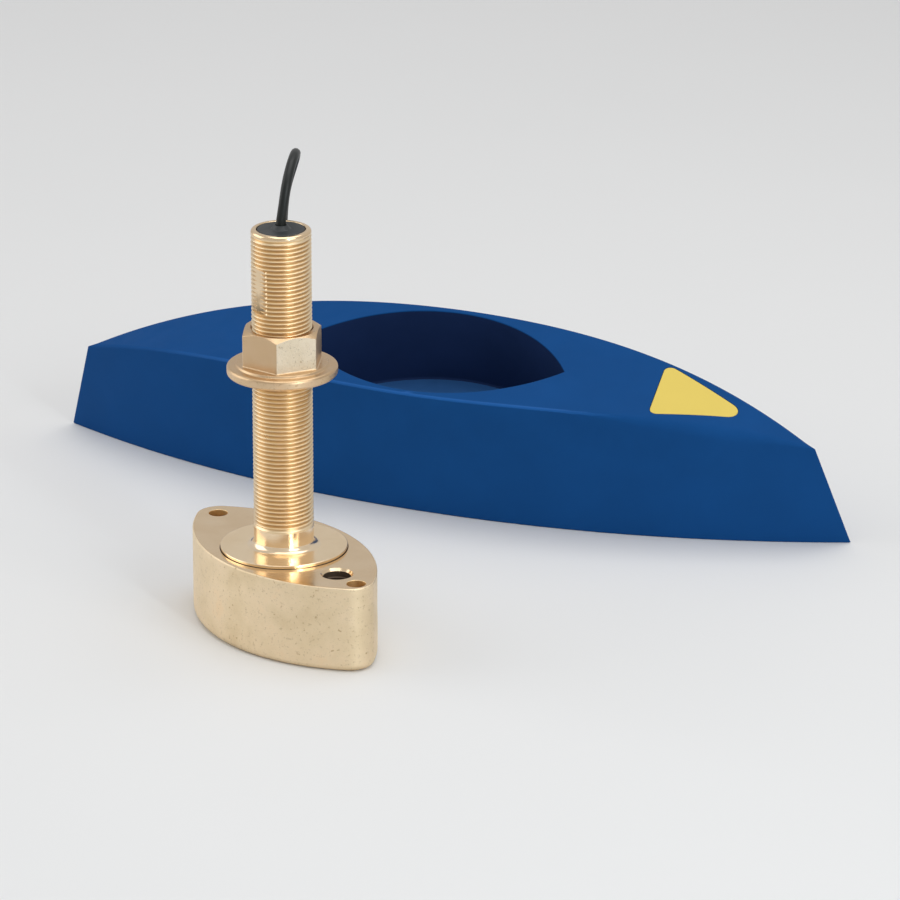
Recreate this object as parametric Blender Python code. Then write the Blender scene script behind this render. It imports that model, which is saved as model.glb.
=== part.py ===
"""Bronze through-hull sonar transducer with its hull nut, cable, connector and fairing block.

The frame is in metres, with +Z up the stem and +X along the fairing block towards its direction mark.
The origin lies on the stem's axis, at the underside of the housing, where the acoustic window is.
The housing's long axis is turned from +X, as the two pieces stand beside each other.
"""

import math

import bmesh
import bpy
import numpy as np
from mathutils import Matrix, Vector

MM = 0.001
SEAT_GAP = 0.3 * MM  # left between pieces that touch, as meshes that meet can't share a face

# Housing casting: a boat-shaped body, a round pad and a hollow stem in one piece
HOUSING_TURN = math.radians(-30.3)
HOUSING_LENGTH = 137.0 * MM
HOUSING_WIDTH = 72.0 * MM
HOUSING_HEIGHT = 43.5 * MM
HOUSING_TIP_RADIUS = 12.0 * MM
HOUSING_FOOT_ROUND = 3.5 * MM
HOUSING_TOP_ROUND = 0.8 * MM
PAD_DIAMETER = 62.8 * MM
PAD_HEIGHT = 1.8 * MM
PAD_EDGE = 0.4 * MM
STEM_DIAMETER = 29.6 * MM
STEM_LENGTH = 163.0 * MM
STEM_RIM_ROUND = 1.5 * MM
NECK_FILLET = 2.6 * MM
STEM_BORE_DIAMETER = 19.0 * MM
WRENCH_FLATS_ACROSS = 27.0 * MM
WRENCH_FLAT_LENGTH = 22.0 * MM
WRENCH_FLAT_SETBACK = 18.4 * MM
SCREW_HOLE_DIAMETER = 9.4 * MM
BOW_SCREW_SETBACK = 6.6 * MM
STERN_SCREW_SETBACK = 10.2 * MM
BOLT_HOLE_DIAMETER = 13.6 * MM
BOLT_HOLE_SETBACK = 22.9 * MM
BOLT_HOLE_DEPTH = 30.0 * MM
BOLT_HOLE_CHAMFER = 0.9 * MM

# Cable seal in the stem's mouth
PLUG_DIAMETER = 24.0 * MM
PLUG_DEPTH = 13.0 * MM
PLUG_COLLAR_HEIGHT = 2.0 * MM
PLUG_COLLAR_WALL = 1.3 * MM

# Acoustic parts in the pocket under the stem
POCKET_DIAMETER = 57.0 * MM
POCKET_DEPTH = 32.0 * MM
WINDOW_THICKNESS = 4.0 * MM
CERAMIC_DIAMETER = 50.8 * MM
CERAMIC_THICKNESS = 10.5 * MM
BACKING_THICKNESS = 3.0 * MM
LEAD_DIAMETER = 1.2 * MM
LEAD_HOLE_DIAMETER = 2.4 * MM
LEAD_SPREAD = 8.0 * MM
LEAD_CHAMBER_DIAMETER = 22.0 * MM
CABLE_TAIL_START = 38.5 * MM

# Hull nut with its flange
NUT_SEAT_HEIGHT = 134.1 * MM
NUT_HEIGHT = 23.9 * MM
NUT_ACROSS_FLATS = 36.2 * MM
NUT_TURN = math.radians(-12.2)
NUT_CORNER_CHAMFER = 2.2 * MM
NUT_CROWN_DIAMETER = 35.6 * MM
NUT_CLEARANCE = 0.35 * MM
NUT_BORE_CHAMFER = 1.0 * MM
FLANGE_DIAMETER = 54.4 * MM
FLANGE_THICKNESS = 5.0 * MM
FLANGE_EDGE_ROUND = 1.4 * MM
NUT_COLLAR_DIAMETER = 45.0 * MM
NUT_COLLAR_HEIGHT = 1.1 * MM

# Fairing block: a crowned, boat-shaped block cut at the hull's deadrise, with a cavity for the housing
FAIRING_X = -9.2 * MM
FAIRING_Y = 225.1 * MM
DEADRISE = math.radians(15.0)
BASE_LENGTH = 448.0 * MM
BASE_WIDTH = 95.2 * MM
BASE_FULLNESS = 2.1
END_RAKE = 16.1 * MM
SIDE_RAKE = 6.6 * MM
TOP_FULLNESS = 1.9
TOP_SHIFT = 0.9 * MM
CREST_HEIGHT = 82.2 * MM
CREST_SHIFT = 5.0 * MM
CROWN_DROP = 28.0 * MM
CROWN_POWER = 3.0
FAIRING_EDGE = 1.0 * MM
CAVITY_SHIFT = -1.0 * MM
CAVITY_CLEARANCE = 1.2 * MM
FACE_PROUD = 2.2 * MM
STEM_CLEARANCE = 0.9 * MM
HULL_BOLT_DIAMETER = 12.0 * MM
HULL_BOLT_CLEARANCE = 0.5 * MM
PILOT_DIAMETER = 5.0 * MM
PILOT_DEPTH = 22.0 * MM

# Direction mark: a triangular inlay that points to the bow
MARK_SETBACK = 86.1 * MM
MARK_OFFSET = 2.8 * MM
MARK_LENGTH = 53.4 * MM
MARK_WIDTH = 45.6 * MM
MARK_SKEW = math.radians(9.1)
MARK_CORNER = 3.7 * MM
MARK_TIP = 6.0 * MM
MARK_THICKNESS = 0.8 * MM

# Cable: up out of the plug, over in a loop, across the fairing and down to a coil behind it
CABLE_DIAMETER = 4.8 * MM
CABLE_STEP = 2.4 * CABLE_DIAMETER
ROUTE_MM = [
    (0, 0, 208.8), (0.2, 0, 213), (0.8, 0.4, 217.5), (1.3, 2.1, 225.4), (0.8, 6.9, 232.6),
    (-0.5, 13.8, 237.3), (-2.6, 21.6, 239), (-5.6, 29.4, 237.4), (-9, 35.5, 232.7),
    (-12.5, 38.9, 225.5), (-15.3, 39.7, 217.5), (-18, 40.2, 200), (-20.2, 44, 182),
    (-24.4, 52.3, 160), (-33, 69, 132), (-43, 88, 108),
    (-55, 113.5, 88), (-67.5, 139.5, 76.4), (-79, 164, 72.5), (-89.5, 187, 76.6), (-100, 209.5, 82.2),
    (-109.5, 230, 87), (-113.5, 238.4, 85.1), (-116.8, 245.4, 79.4), (-118.9, 249.8, 70.7),
    (-120.6, 253.6, 58.5), (-122.2, 259.6, 46), (-125, 270.5, 35), (-129.6, 284.8, 27.8),
]
TAIL_MM = [
    (-69.3, 373.2, 3.9), (-58, 371.8, 3.2), (-46, 367.5, 2.8), (-34, 360.5, 2.8), (-22, 354.5, 3.3),
    (-10, 350.8, 5.6), (0, 349.2, 8.6), (8, 348.6, 10.6), (14, 348.5, 11),
]

# Coil of the stored cable, wound in flat layers and held by two ties
COIL_CENTRE = Vector((-92.0 * MM, 324.0 * MM, 0.0))
COIL_MEAN_RADIUS = 36.4 * MM
COIL_LAYERS = 6
COIL_TURNS = 32.316
TIE_THICKNESS = 1.2 * MM
TIE_WIDTH = 8.0 * MM
TIE_ANGLES = (math.radians(330.0), math.radians(150.0))

# Cable connector, lying along +X on the floor
CONNECTOR_START = Vector((14.3 * MM, 348.5 * MM, 11.0 * MM))
BOOT_LENGTH = 28.0 * MM
BOOT_END_DIAMETER = 14.0 * MM
BODY_LENGTH = 34.0 * MM
BODY_DIAMETER = 17.0 * MM
GRIP_DIAMETER = 19.6 * MM
COUPLING_LENGTH = 17.0 * MM
COUPLING_OVERHANG = 1.5 * MM
COUPLING_RIBS = 24
RIB_DEPTH = 0.5 * MM
SOCKET_WALL = 1.3 * MM
SOCKET_DEPTH = 14.0 * MM
INSERT_LENGTH = 8.0 * MM
PIN_COUNT = 6
PIN_CIRCLE_RADIUS = 3.6 * MM
PIN_DIAMETER = 1.2 * MM
PIN_LENGTH = 4.6 * MM
SEAL_SECTION = 1.3 * MM

# Numbers of facets
ROUND_FACETS = 48
SMALL_FACETS = 24
SIDE_STEPS = 20
TIP_STEPS = 8
FAIRING_STEPS = 44

# Sizes that follow from the ones above
BOW_SCREW_OFFSET = HOUSING_LENGTH / 2 - BOW_SCREW_SETBACK
STERN_SCREW_OFFSET = HOUSING_LENGTH / 2 - STERN_SCREW_SETBACK
BOLT_HOLE_OFFSET = HOUSING_LENGTH / 2 - BOLT_HOLE_SETBACK
PAD_TOP = HOUSING_HEIGHT + PAD_HEIGHT
STEM_TOP = PAD_TOP + STEM_LENGTH
STEM_RADIUS = STEM_DIAMETER / 2
POCKET_RADIUS = POCKET_DIAMETER / 2
PLUG_BOTTOM = STEM_TOP - PLUG_DEPTH
CABLE_RADIUS = CABLE_DIAMETER / 2
TOP_LENGTH = BASE_LENGTH - 2 * END_RAKE
TOP_WIDTH = BASE_WIDTH - 2 * SIDE_RAKE
MARK_BACK = TOP_SHIFT + TOP_LENGTH / 2 - MARK_SETBACK
CAVITY_DEPTH = PAD_TOP - FACE_PROUD
CAVITY_FLOOR = CREST_HEIGHT - CAVITY_DEPTH
COIL_BUILD = COIL_TURNS / COIL_LAYERS * CABLE_DIAMETER
COIL_OUTER = COIL_MEAN_RADIUS + (COIL_BUILD + CABLE_DIAMETER) / 2
COIL_INNER = COIL_MEAN_RADIUS - (COIL_BUILD + CABLE_DIAMETER) / 2
COIL_BOTTOM = TIE_THICKNESS + SEAT_GAP
COIL_TOP = COIL_BOTTOM + COIL_LAYERS * CABLE_DIAMETER
HOUSING_PLACE = Matrix.Rotation(HOUSING_TURN, 4, "Z")
BLOCK_PLACE = Matrix.Translation((FAIRING_X, FAIRING_Y, 0.0)) @ Matrix.Rotation(DEADRISE, 4, "X")
CONNECTOR_PLACE = Matrix.Translation(CONNECTOR_START) @ Matrix.Rotation(math.pi / 2, 4, "Y")


def clear_scene():
    """Removes every object, so that the script can be run again."""
    for obj in list(bpy.data.objects):
        bpy.data.objects.remove(obj, do_unlink=True)


def finish(name, color, roughness, metallic=0.0):
    """A Principled material, or the one of that name if it is there already."""
    material = bpy.data.materials.get(name) or bpy.data.materials.new(name)
    material.use_nodes = True
    shader = material.node_tree.nodes["Principled BSDF"]
    shader.inputs["Base Color"].default_value = (*color, 1.0)
    shader.inputs["Roughness"].default_value = roughness
    shader.inputs["Metallic"].default_value = metallic
    return material


def add_object(name, bm, material, place=None):
    """Turns a closed bmesh into an object, with its faces outward and its round sides smooth."""
    if place is not None:
        bmesh.ops.transform(bm, matrix=place, verts=bm.verts)
    bmesh.ops.recalc_face_normals(bm, faces=bm.faces)
    mesh = bpy.data.meshes.new(name)
    bm.to_mesh(mesh)
    bm.free()
    mesh.shade_smooth()
    mesh.set_sharp_from_angle(angle=math.radians(32.0))
    obj = bpy.data.objects.new(name, mesh)
    bpy.context.scene.collection.objects.link(obj)
    if material:
        mesh.materials.append(material)
    return obj


def add_cutter(name, bm, place=None):
    """A shape that only cuts or joins another: it isn't a piece of the object."""
    obj = add_object(name, bm, None, place)
    obj.hide_render = True
    obj.display_type = "WIRE"
    return obj


def combine(target, tool, operation):
    """Joins, cuts or intersects an object with a cutter, exactly."""
    modifier = target.modifiers.new(tool.name, "BOOLEAN")
    modifier.operation = operation
    modifier.solver = "EXACT"
    modifier.object = tool


def add_rings(bm, rings):
    """Skins a stack of rings of equally many points, and closes both ends. A ring of one point is a tip."""
    loops = [[bm.verts.new(point) for point in ring] for ring in rings]
    for low, high in zip(loops, loops[1:]):
        count = max(len(low), len(high))
        for i in range(count):
            j = (i + 1) % count
            corners = [low[i % len(low)], low[j % len(low)], high[j % len(high)], high[i % len(high)]]
            unique = list(dict.fromkeys(corners))
            bm.faces.new(unique)
    for end in (loops[0], loops[-1]):
        if len(end) > 2:
            bm.faces.new(end)


def circle(radius, height, facets, x=0.0, y=0.0):
    """Points round a circle about the Z axis, or round an axis beside it."""
    if radius < 1e-9:
        return [(x, y, height)]
    turn = [2.0 * math.pi * i / facets for i in range(facets)]
    return [(x + radius * math.cos(a), y + radius * math.sin(a), height) for a in turn]


def turned(bm, profile, facets=ROUND_FACETS, x=0.0, y=0.0):
    """A solid of revolution. Its profile runs from its lowest point on the axis or rim to its highest."""
    add_rings(bm, [circle(r, z, facets, x, y) for r, z in profile])


def turned_tube(bm, profile, facets=ROUND_FACETS, x=0.0, y=0.0):
    """A ring of revolution, from a closed profile that stays clear of the axis."""
    loops = [[bm.verts.new(p) for p in circle(r, z, facets, x, y)] for r, z in profile]
    for low, high in zip(loops, loops[1:] + loops[:1]):
        for i in range(facets):
            j = (i + 1) % facets
            bm.faces.new((low[i], low[j], high[j], high[i]))


def quarter(centre_r, centre_z, radius, start, stop, steps):
    """Profile points on an arc, with its angles in degrees from the outward direction."""
    angles = [math.radians(start + (stop - start) * i / steps) for i in range(steps + 1)]
    return [(centre_r + radius * math.cos(a), centre_z + radius * math.sin(a)) for a in angles]


def boat_outline(length, width, tip_radius, side_steps=SIDE_STEPS, tip_steps=TIP_STEPS):
    """A boat-shaped outline: two long arcs that run into a round tip at each end, tangent to it.

    A side's arc has its centre across the middle. Its radius follows from the condition that the tip's
    circle touches it from inside. A tip radius of zero gives sharp ends.
    """
    a, b = length / 2 - tip_radius, width / 2
    radius = (a * a + b * b - tip_radius**2) / (2 * (b - tip_radius))
    reach = math.atan2(a, radius - b)
    side = [-reach + 2 * reach * i / side_steps for i in range(side_steps + 1)]
    upper = [(radius * math.sin(t), b - radius + radius * math.cos(t)) for t in side]
    half = math.pi / 2 - reach
    tip = [half - 2 * half * i / tip_steps for i in range(1, tip_steps)] if tip_radius > 0 else []
    nose = [(a + tip_radius * math.cos(t), tip_radius * math.sin(t)) for t in tip]
    start = 0 if tip_radius > 0 else 1
    first = upper[start:] + nose
    return first + [(-x, -y) for x, y in first]


def boat_ring(inset, height):
    """The housing's outline, drawn in by an inset, at a height. The arcs keep their centres."""
    outline = boat_outline(
        HOUSING_LENGTH - 2 * inset, HOUSING_WIDTH - 2 * inset, HOUSING_TIP_RADIUS - inset
    )
    return [(x, y, height) for x, y in outline]


def prism(bm, outline, low, high):
    """A straight prism on an outline in the XY plane."""
    add_rings(bm, [[(x, y, z) for x, y in outline] for z in (low, high)])


def box(bm, low, high):
    """A box between two corners."""
    (x0, y0, z0), (x1, y1, z1) = low, high
    prism(bm, [(x0, y0), (x1, y0), (x1, y1), (x0, y1)], z0, z1)


def make_housing(bronze):
    """The bronze casting: body, pad and stem, bored for the cable and pocketed for the ceramic."""
    body = bmesh.new()
    rings = []
    for inset, height in quarter(0.0, HOUSING_FOOT_ROUND, HOUSING_FOOT_ROUND, 270, 360, 3):
        rings.append(boat_ring(HOUSING_FOOT_ROUND - inset, height))
    for inset, height in quarter(0.0, HOUSING_HEIGHT - HOUSING_TOP_ROUND, HOUSING_TOP_ROUND, 0, 90, 2):
        rings.append(boat_ring(HOUSING_TOP_ROUND - inset, height))
    add_rings(body, rings)
    housing = add_object("housing", body, bronze, HOUSING_PLACE)

    stem = bmesh.new()
    profile = [(0.0, HOUSING_HEIGHT - 4 * MM), (PAD_DIAMETER / 2, HOUSING_HEIGHT - 4 * MM)]
    profile += [(PAD_DIAMETER / 2, PAD_TOP - PAD_EDGE), (PAD_DIAMETER / 2 - PAD_EDGE, PAD_TOP)]
    profile += quarter(STEM_RADIUS + NECK_FILLET, PAD_TOP + NECK_FILLET, NECK_FILLET, 270, 180, 4)
    profile += quarter(STEM_RADIUS - STEM_RIM_ROUND, STEM_TOP - STEM_RIM_ROUND, STEM_RIM_ROUND, 0, 90, 3)
    profile += [(0.0, STEM_TOP)]
    turned(stem, profile)
    combine(housing, add_cutter("stem_stock", stem), "UNION")

    bores = bmesh.new()
    throat = STEM_BORE_DIAMETER / 2
    turned(bores, [
        (0.0, -1 * MM), (POCKET_RADIUS, -1 * MM), (POCKET_RADIUS, POCKET_DEPTH), (throat, POCKET_DEPTH),
        (throat, PLUG_BOTTOM), (PLUG_DIAMETER / 2, PLUG_BOTTOM), (PLUG_DIAMETER / 2, STEM_TOP + 1 * MM),
        (0.0, STEM_TOP + 1 * MM),
    ])
    combine(housing, add_cutter("stem_bores", bores), "DIFFERENCE")

    holes = bmesh.new()
    for offset in (BOW_SCREW_OFFSET, -STERN_SCREW_OFFSET):
        radius = SCREW_HOLE_DIAMETER / 2
        turned(holes, [(0, -MM), (radius, -MM), (radius, PAD_TOP), (0, PAD_TOP)], SMALL_FACETS, offset)
    radius, mouth = BOLT_HOLE_DIAMETER / 2, BOLT_HOLE_DIAMETER / 2 + BOLT_HOLE_CHAMFER
    floor = HOUSING_HEIGHT - BOLT_HOLE_DEPTH
    turned(holes, [
        (0, floor - radius / 2), (radius, floor), (radius, HOUSING_HEIGHT - BOLT_HOLE_CHAMFER),
        (mouth, HOUSING_HEIGHT), (mouth, PAD_TOP), (0, PAD_TOP),
    ], SMALL_FACETS, BOLT_HOLE_OFFSET)
    combine(housing, add_cutter("fixing_holes", holes, HOUSING_PLACE), "DIFFERENCE")

    flats = bmesh.new()
    high = STEM_TOP - WRENCH_FLAT_SETBACK
    for side in (-1, 1):
        near, far = sorted((side * WRENCH_FLATS_ACROSS / 2, side * STEM_DIAMETER))
        box(flats, (-STEM_DIAMETER, near, high - WRENCH_FLAT_LENGTH), (STEM_DIAMETER, far, high))
    combine(housing, add_cutter("wrench_flats", flats, HOUSING_PLACE), "DIFFERENCE")


def make_stem_plug(rubber):
    """The moulded seal in the stem's mouth, with a low collar round the cable."""
    radius = PLUG_DIAMETER / 2 - SEAT_GAP
    collar = CABLE_RADIUS + PLUG_COLLAR_WALL
    plug = bmesh.new()
    turned(plug, [
        (0, PLUG_BOTTOM + SEAT_GAP), (radius, PLUG_BOTTOM + SEAT_GAP), (radius, STEM_TOP - 0.4 * MM),
        (radius - 0.4 * MM, STEM_TOP), (collar, STEM_TOP), (collar, STEM_TOP + 0.1 * MM),
        (CABLE_RADIUS + SEAT_GAP, STEM_TOP + PLUG_COLLAR_HEIGHT),
        (CABLE_RADIUS + SEAT_GAP, STEM_TOP + 0.2 * MM), (0, STEM_TOP + 0.2 * MM),
    ], SMALL_FACETS * 2)
    add_object("stem_plug", plug, rubber)


def make_acoustic_parts(urethane, ceramic, cork, potting, copper, jacket):
    """The window, ceramic, cork ring, backing, potting, leads and cable end inside the casting."""
    outer = POCKET_RADIUS - SEAT_GAP
    ceramic_radius = CERAMIC_DIAMETER / 2
    ceramic_low = WINDOW_THICKNESS + SEAT_GAP
    ceramic_high = ceramic_low + CERAMIC_THICKNESS
    backing_low = ceramic_high + SEAT_GAP
    backing_high = backing_low + BACKING_THICKNESS
    potting_low = backing_high + SEAT_GAP
    potting_high = POCKET_DEPTH - SEAT_GAP

    def disc(name, radius, low, high, material):
        bm = bmesh.new()
        turned(bm, [(0, low), (radius, low), (radius, high), (0, high)])
        return add_object(name, bm, material)

    def sleeve(name, inner, radius, low, high, material):
        bm = bmesh.new()
        turned_tube(bm, [(inner, low), (radius, low), (radius, high), (inner, high)])
        add_object(name, bm, material)

    disc("acoustic_window", outer, 0.0, WINDOW_THICKNESS, urethane)
    disc("piezo_disc", ceramic_radius, ceramic_low, ceramic_high, ceramic)
    sleeve("isolation_ring", ceramic_radius + SEAT_GAP, outer, ceramic_low, backing_high, cork)
    backing = disc("backing_disc", ceramic_radius, backing_low, backing_high, cork)
    lead_holes = bmesh.new()
    for side in (-1, 1):
        radius, low, high = LEAD_HOLE_DIAMETER / 2, backing_low - MM, backing_high + MM
        profile = [(0, low), (radius, low), (radius, high), (0, high)]
        turned(lead_holes, profile, SMALL_FACETS // 2, side * LEAD_SPREAD)
    combine(backing, add_cutter("lead_holes", lead_holes), "DIFFERENCE")
    sleeve("encapsulant", LEAD_CHAMBER_DIAMETER / 2, outer, potting_low, potting_high, potting)

    solder = ceramic_high + SEAT_GAP
    splice = CABLE_TAIL_START - SEAT_GAP
    for name, side in (("lead_positive", 1), ("lead_negative", -1)):
        x, end = side * LEAD_SPREAD, side * LEAD_DIAMETER
        route = [(x, 0, solder), (x, 0, backing_high + MM), (x * 0.8, 0, potting_high * 0.8)]
        route += [(end, 0, splice - 3 * MM), (end, 0, splice)]
        add_cable(name, smooth_route(route, 3 * LEAD_DIAMETER), LEAD_DIAMETER, copper, 1)
    tail_end = PLUG_BOTTOM
    disc("inner_cable", CABLE_RADIUS, CABLE_TAIL_START, tail_end, jacket)


def make_hull_nut(bronze):
    """The hex nut and its round flange, cast in one, with chamfered corners and a plain bore."""
    top = NUT_SEAT_HEIGHT + NUT_HEIGHT
    collar_top = NUT_SEAT_HEIGHT + FLANGE_THICKNESS + NUT_COLLAR_HEIGHT
    corner = NUT_ACROSS_FLATS / math.sqrt(3)
    hexagon = bmesh.new()
    low = NUT_SEAT_HEIGHT + FLANGE_THICKNESS / 2
    turned(hexagon, [(0, low), (corner, low), (corner, top), (0, top)], 6)
    nut = add_object("hull_nut", hexagon, bronze, Matrix.Rotation(NUT_TURN, 4, "Z"))

    crown = bmesh.new()
    slope = NUT_CORNER_CHAMFER / (corner - NUT_CROWN_DIAMETER / 2)
    wide = corner + 2 * MM
    turned(crown, [
        (0, low - MM), (wide, low - MM), (wide, top - NUT_CORNER_CHAMFER - 2 * MM * slope),
        (NUT_CROWN_DIAMETER / 2, top), (0, top),
    ])
    combine(nut, add_cutter("nut_crown", crown), "INTERSECT")

    flange = bmesh.new()
    edge, radius = FLANGE_EDGE_ROUND, FLANGE_DIAMETER / 2
    shoulder = NUT_SEAT_HEIGHT + FLANGE_THICKNESS
    profile = [(0, NUT_SEAT_HEIGHT)]
    profile += quarter(radius - edge, NUT_SEAT_HEIGHT + edge, edge, 270, 360, 3)
    profile += quarter(radius - edge, shoulder - edge, edge, 0, 90, 3)
    profile += [(NUT_COLLAR_DIAMETER / 2 + 0.6 * MM, shoulder), (NUT_COLLAR_DIAMETER / 2, collar_top)]
    profile += [(0, collar_top)]
    turned(flange, profile)
    combine(nut, add_cutter("nut_flange", flange), "UNION")

    bore = bmesh.new()
    inner, cut = STEM_RADIUS + NUT_CLEARANCE, NUT_BORE_CHAMFER
    turned(bore, [
        (0, NUT_SEAT_HEIGHT - MM), (inner + cut + MM, NUT_SEAT_HEIGHT - MM), (inner, NUT_SEAT_HEIGHT + cut),
        (inner, top - cut), (inner + cut + MM, top + MM), (0, top + MM),
    ])
    combine(nut, add_cutter("nut_bore", bore), "DIFFERENCE")


def crown_height(x):
    """The height of the fairing's crowned top over its own base plane, at a distance along it."""
    half = TOP_LENGTH / 2
    return CREST_HEIGHT - CROWN_DROP * abs((x - CREST_SHIFT) / half) ** CROWN_POWER


def lens_half_width(t, width, fullness):
    """Half the width of a lens outline at a share t of its half length: w (1 - |t|^p) / 2."""
    return width / 2 * max(0.0, 1.0 - abs(t) ** fullness)


def fairing_ring(length, width, fullness, shift, height_at, place):
    """A lens outline as one closed ring: the near side bow-wards, then the far side back."""
    shares = [-1.0 + 2.0 * i / FAIRING_STEPS for i in range(FAIRING_STEPS + 1)]
    sides = []
    for sign in (-1, 1):
        side = []
        for t in shares:
            x = shift + t * length / 2
            side.append(place @ Vector((x, sign * lens_half_width(t, width, fullness), height_at(x))))
        sides.append(side)
    near, far = sides
    return near + far[-2:0:-1]


def add_lens_face(bm, loop):
    """Closes a lens ring with strips that run straight across it."""
    count = FAIRING_STEPS
    near, far = loop[: count + 1], [loop[0]] + loop[:count - 1:-1]
    for i in range(count):
        corners = [near[i], near[i + 1], far[i + 1], far[i]]
        bm.faces.new(list(dict.fromkeys(corners)))


def make_fairing(blue):
    """The fairing block: a lofted, crowned block, pocketed for the housing and drilled for its fixings."""
    edge = FAIRING_EDGE
    flat = Matrix.Translation((FAIRING_X, FAIRING_Y, 0.0))
    rings = [
        fairing_ring(BASE_LENGTH, BASE_WIDTH, BASE_FULLNESS, 0.0, lambda x: 0.0, flat),
        fairing_ring(
            TOP_LENGTH, TOP_WIDTH, TOP_FULLNESS, TOP_SHIFT, lambda x: crown_height(x) - edge, BLOCK_PLACE
        ),
        fairing_ring(
            TOP_LENGTH - 3 * edge, TOP_WIDTH - 2 * edge, TOP_FULLNESS, TOP_SHIFT, crown_height, BLOCK_PLACE
        ),
    ]
    block = bmesh.new()
    loops = [[block.verts.new(p) for p in ring] for ring in rings]
    for low, high in zip(loops, loops[1:]):
        for i in range(len(low)):
            j = (i + 1) % len(low)
            block.faces.new((low[i], low[j], high[j], high[i]))
    add_lens_face(block, loops[0])
    add_lens_face(block, loops[-1])
    bmesh.ops.triangulate(block, faces=block.faces)
    fairing = add_object("fairing", block, blue)

    cavity = bmesh.new()
    inner_arc = boat_outline(HOUSING_LENGTH, HOUSING_WIDTH, HOUSING_TIP_RADIUS)
    width = 2 * (max(y for _, y in inner_arc) + CAVITY_CLEARANCE)
    outline = boat_outline(sharp_length(width), width, 0.0, 2 * SIDE_STEPS)
    outline = [(x + CAVITY_SHIFT, y) for x, y in outline]
    prism(cavity, outline, CAVITY_FLOOR, CREST_HEIGHT + 10 * MM)
    combine(fairing, add_cutter("fairing_cavity", cavity, BLOCK_PLACE), "DIFFERENCE")

    bores = bmesh.new()
    low, high = -BASE_WIDTH / 2, CAVITY_FLOOR + MM
    through = (
        (CAVITY_SHIFT, STEM_DIAMETER + 2 * STEM_CLEARANCE, low, ROUND_FACETS),
        (CAVITY_SHIFT + BOLT_HOLE_OFFSET, HULL_BOLT_DIAMETER + 2 * HULL_BOLT_CLEARANCE, low, SMALL_FACETS),
        (CAVITY_SHIFT + BOW_SCREW_OFFSET, PILOT_DIAMETER, CAVITY_FLOOR - PILOT_DEPTH, SMALL_FACETS // 2),
        (CAVITY_SHIFT - STERN_SCREW_OFFSET, PILOT_DIAMETER, CAVITY_FLOOR - PILOT_DEPTH, SMALL_FACETS // 2),
    )
    for x, diameter, bottom, facets in through:
        turned(bores, [(0, bottom), (diameter / 2, bottom), (diameter / 2, high), (0, high)], facets, x)
    combine(fairing, add_cutter("fairing_bores", bores, BLOCK_PLACE), "DIFFERENCE")

    recess = crowned_plate(0.0, MARK_THICKNESS + SEAT_GAP, 5 * MM)
    combine(fairing, add_cutter("mark_recess", recess, BLOCK_PLACE), "DIFFERENCE")


def sharp_length(width):
    """The length at which arcs that keep the housing's own centres meet in sharp tips, at a width."""
    a = HOUSING_LENGTH / 2 - HOUSING_TIP_RADIUS
    b = HOUSING_WIDTH / 2
    radius = (a * a + b * b - HOUSING_TIP_RADIUS**2) / (2 * (b - HOUSING_TIP_RADIUS))
    centre = radius - b
    return 2 * math.sqrt((centre + width / 2) ** 2 - centre**2)


def rounded_triangle(shrink):
    """The mark's outline: a triangle that points to the bow, its back edge skewed, its corners round."""
    half = MARK_WIDTH / 2
    back = Vector((MARK_BACK, MARK_OFFSET))
    along = Vector((-math.sin(MARK_SKEW), math.cos(MARK_SKEW)))
    corners = [back - along * half, Vector((MARK_BACK + MARK_LENGTH, MARK_OFFSET)), back + along * half]
    points = []
    for i, (corner, rounding) in enumerate(zip(corners, (MARK_CORNER, MARK_TIP, MARK_CORNER))):
        before = (corners[i - 1] - corner).normalized()
        after = (corners[(i + 1) % 3] - corner).normalized()
        middle = (before + after).normalized()
        half_angle = before.angle(after) / 2
        centre = corner + middle * (rounding / math.sin(half_angle))
        sweep = math.pi / 2 - half_angle
        outward = math.atan2(-middle.y, -middle.x)
        for k in range(5):
            angle = outward + sweep * (k / 2 - 1)
            radius = rounding - shrink
            points.append((centre.x + radius * math.cos(angle), centre.y + radius * math.sin(angle)))
    return points


def crowned_plate(shrink, depth, rise):
    """A plate on the mark's outline that follows the fairing's crown, between two levels about it."""
    bm = bmesh.new()
    face = bm.faces.new([bm.verts.new((x, y, 0.0)) for x, y in rounded_triangle(shrink)])
    for k in range(1, 6):
        cut = Vector((MARK_BACK + MARK_LENGTH * k / 6, 0.0, 0.0))
        geometry = list(bm.verts) + list(bm.edges) + list(bm.faces)
        bmesh.ops.bisect_plane(bm, geom=geometry, plane_co=cut, plane_no=(1.0, 0.0, 0.0))
    upper = bmesh.ops.extrude_face_region(bm, geom=list(bm.faces))["geom"]
    raised = {item for item in upper if isinstance(item, bmesh.types.BMVert)}
    for vert in bm.verts:
        vert.co.z = crown_height(vert.co.x) + (rise if vert in raised else -depth)
    return bm


def make_direction_mark(yellow):
    """The yellow inlay, flush in its recess in the fairing's top."""
    add_object("direction_mark", crowned_plate(SEAT_GAP, MARK_THICKNESS, 0.0), yellow, BLOCK_PLACE)


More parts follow.
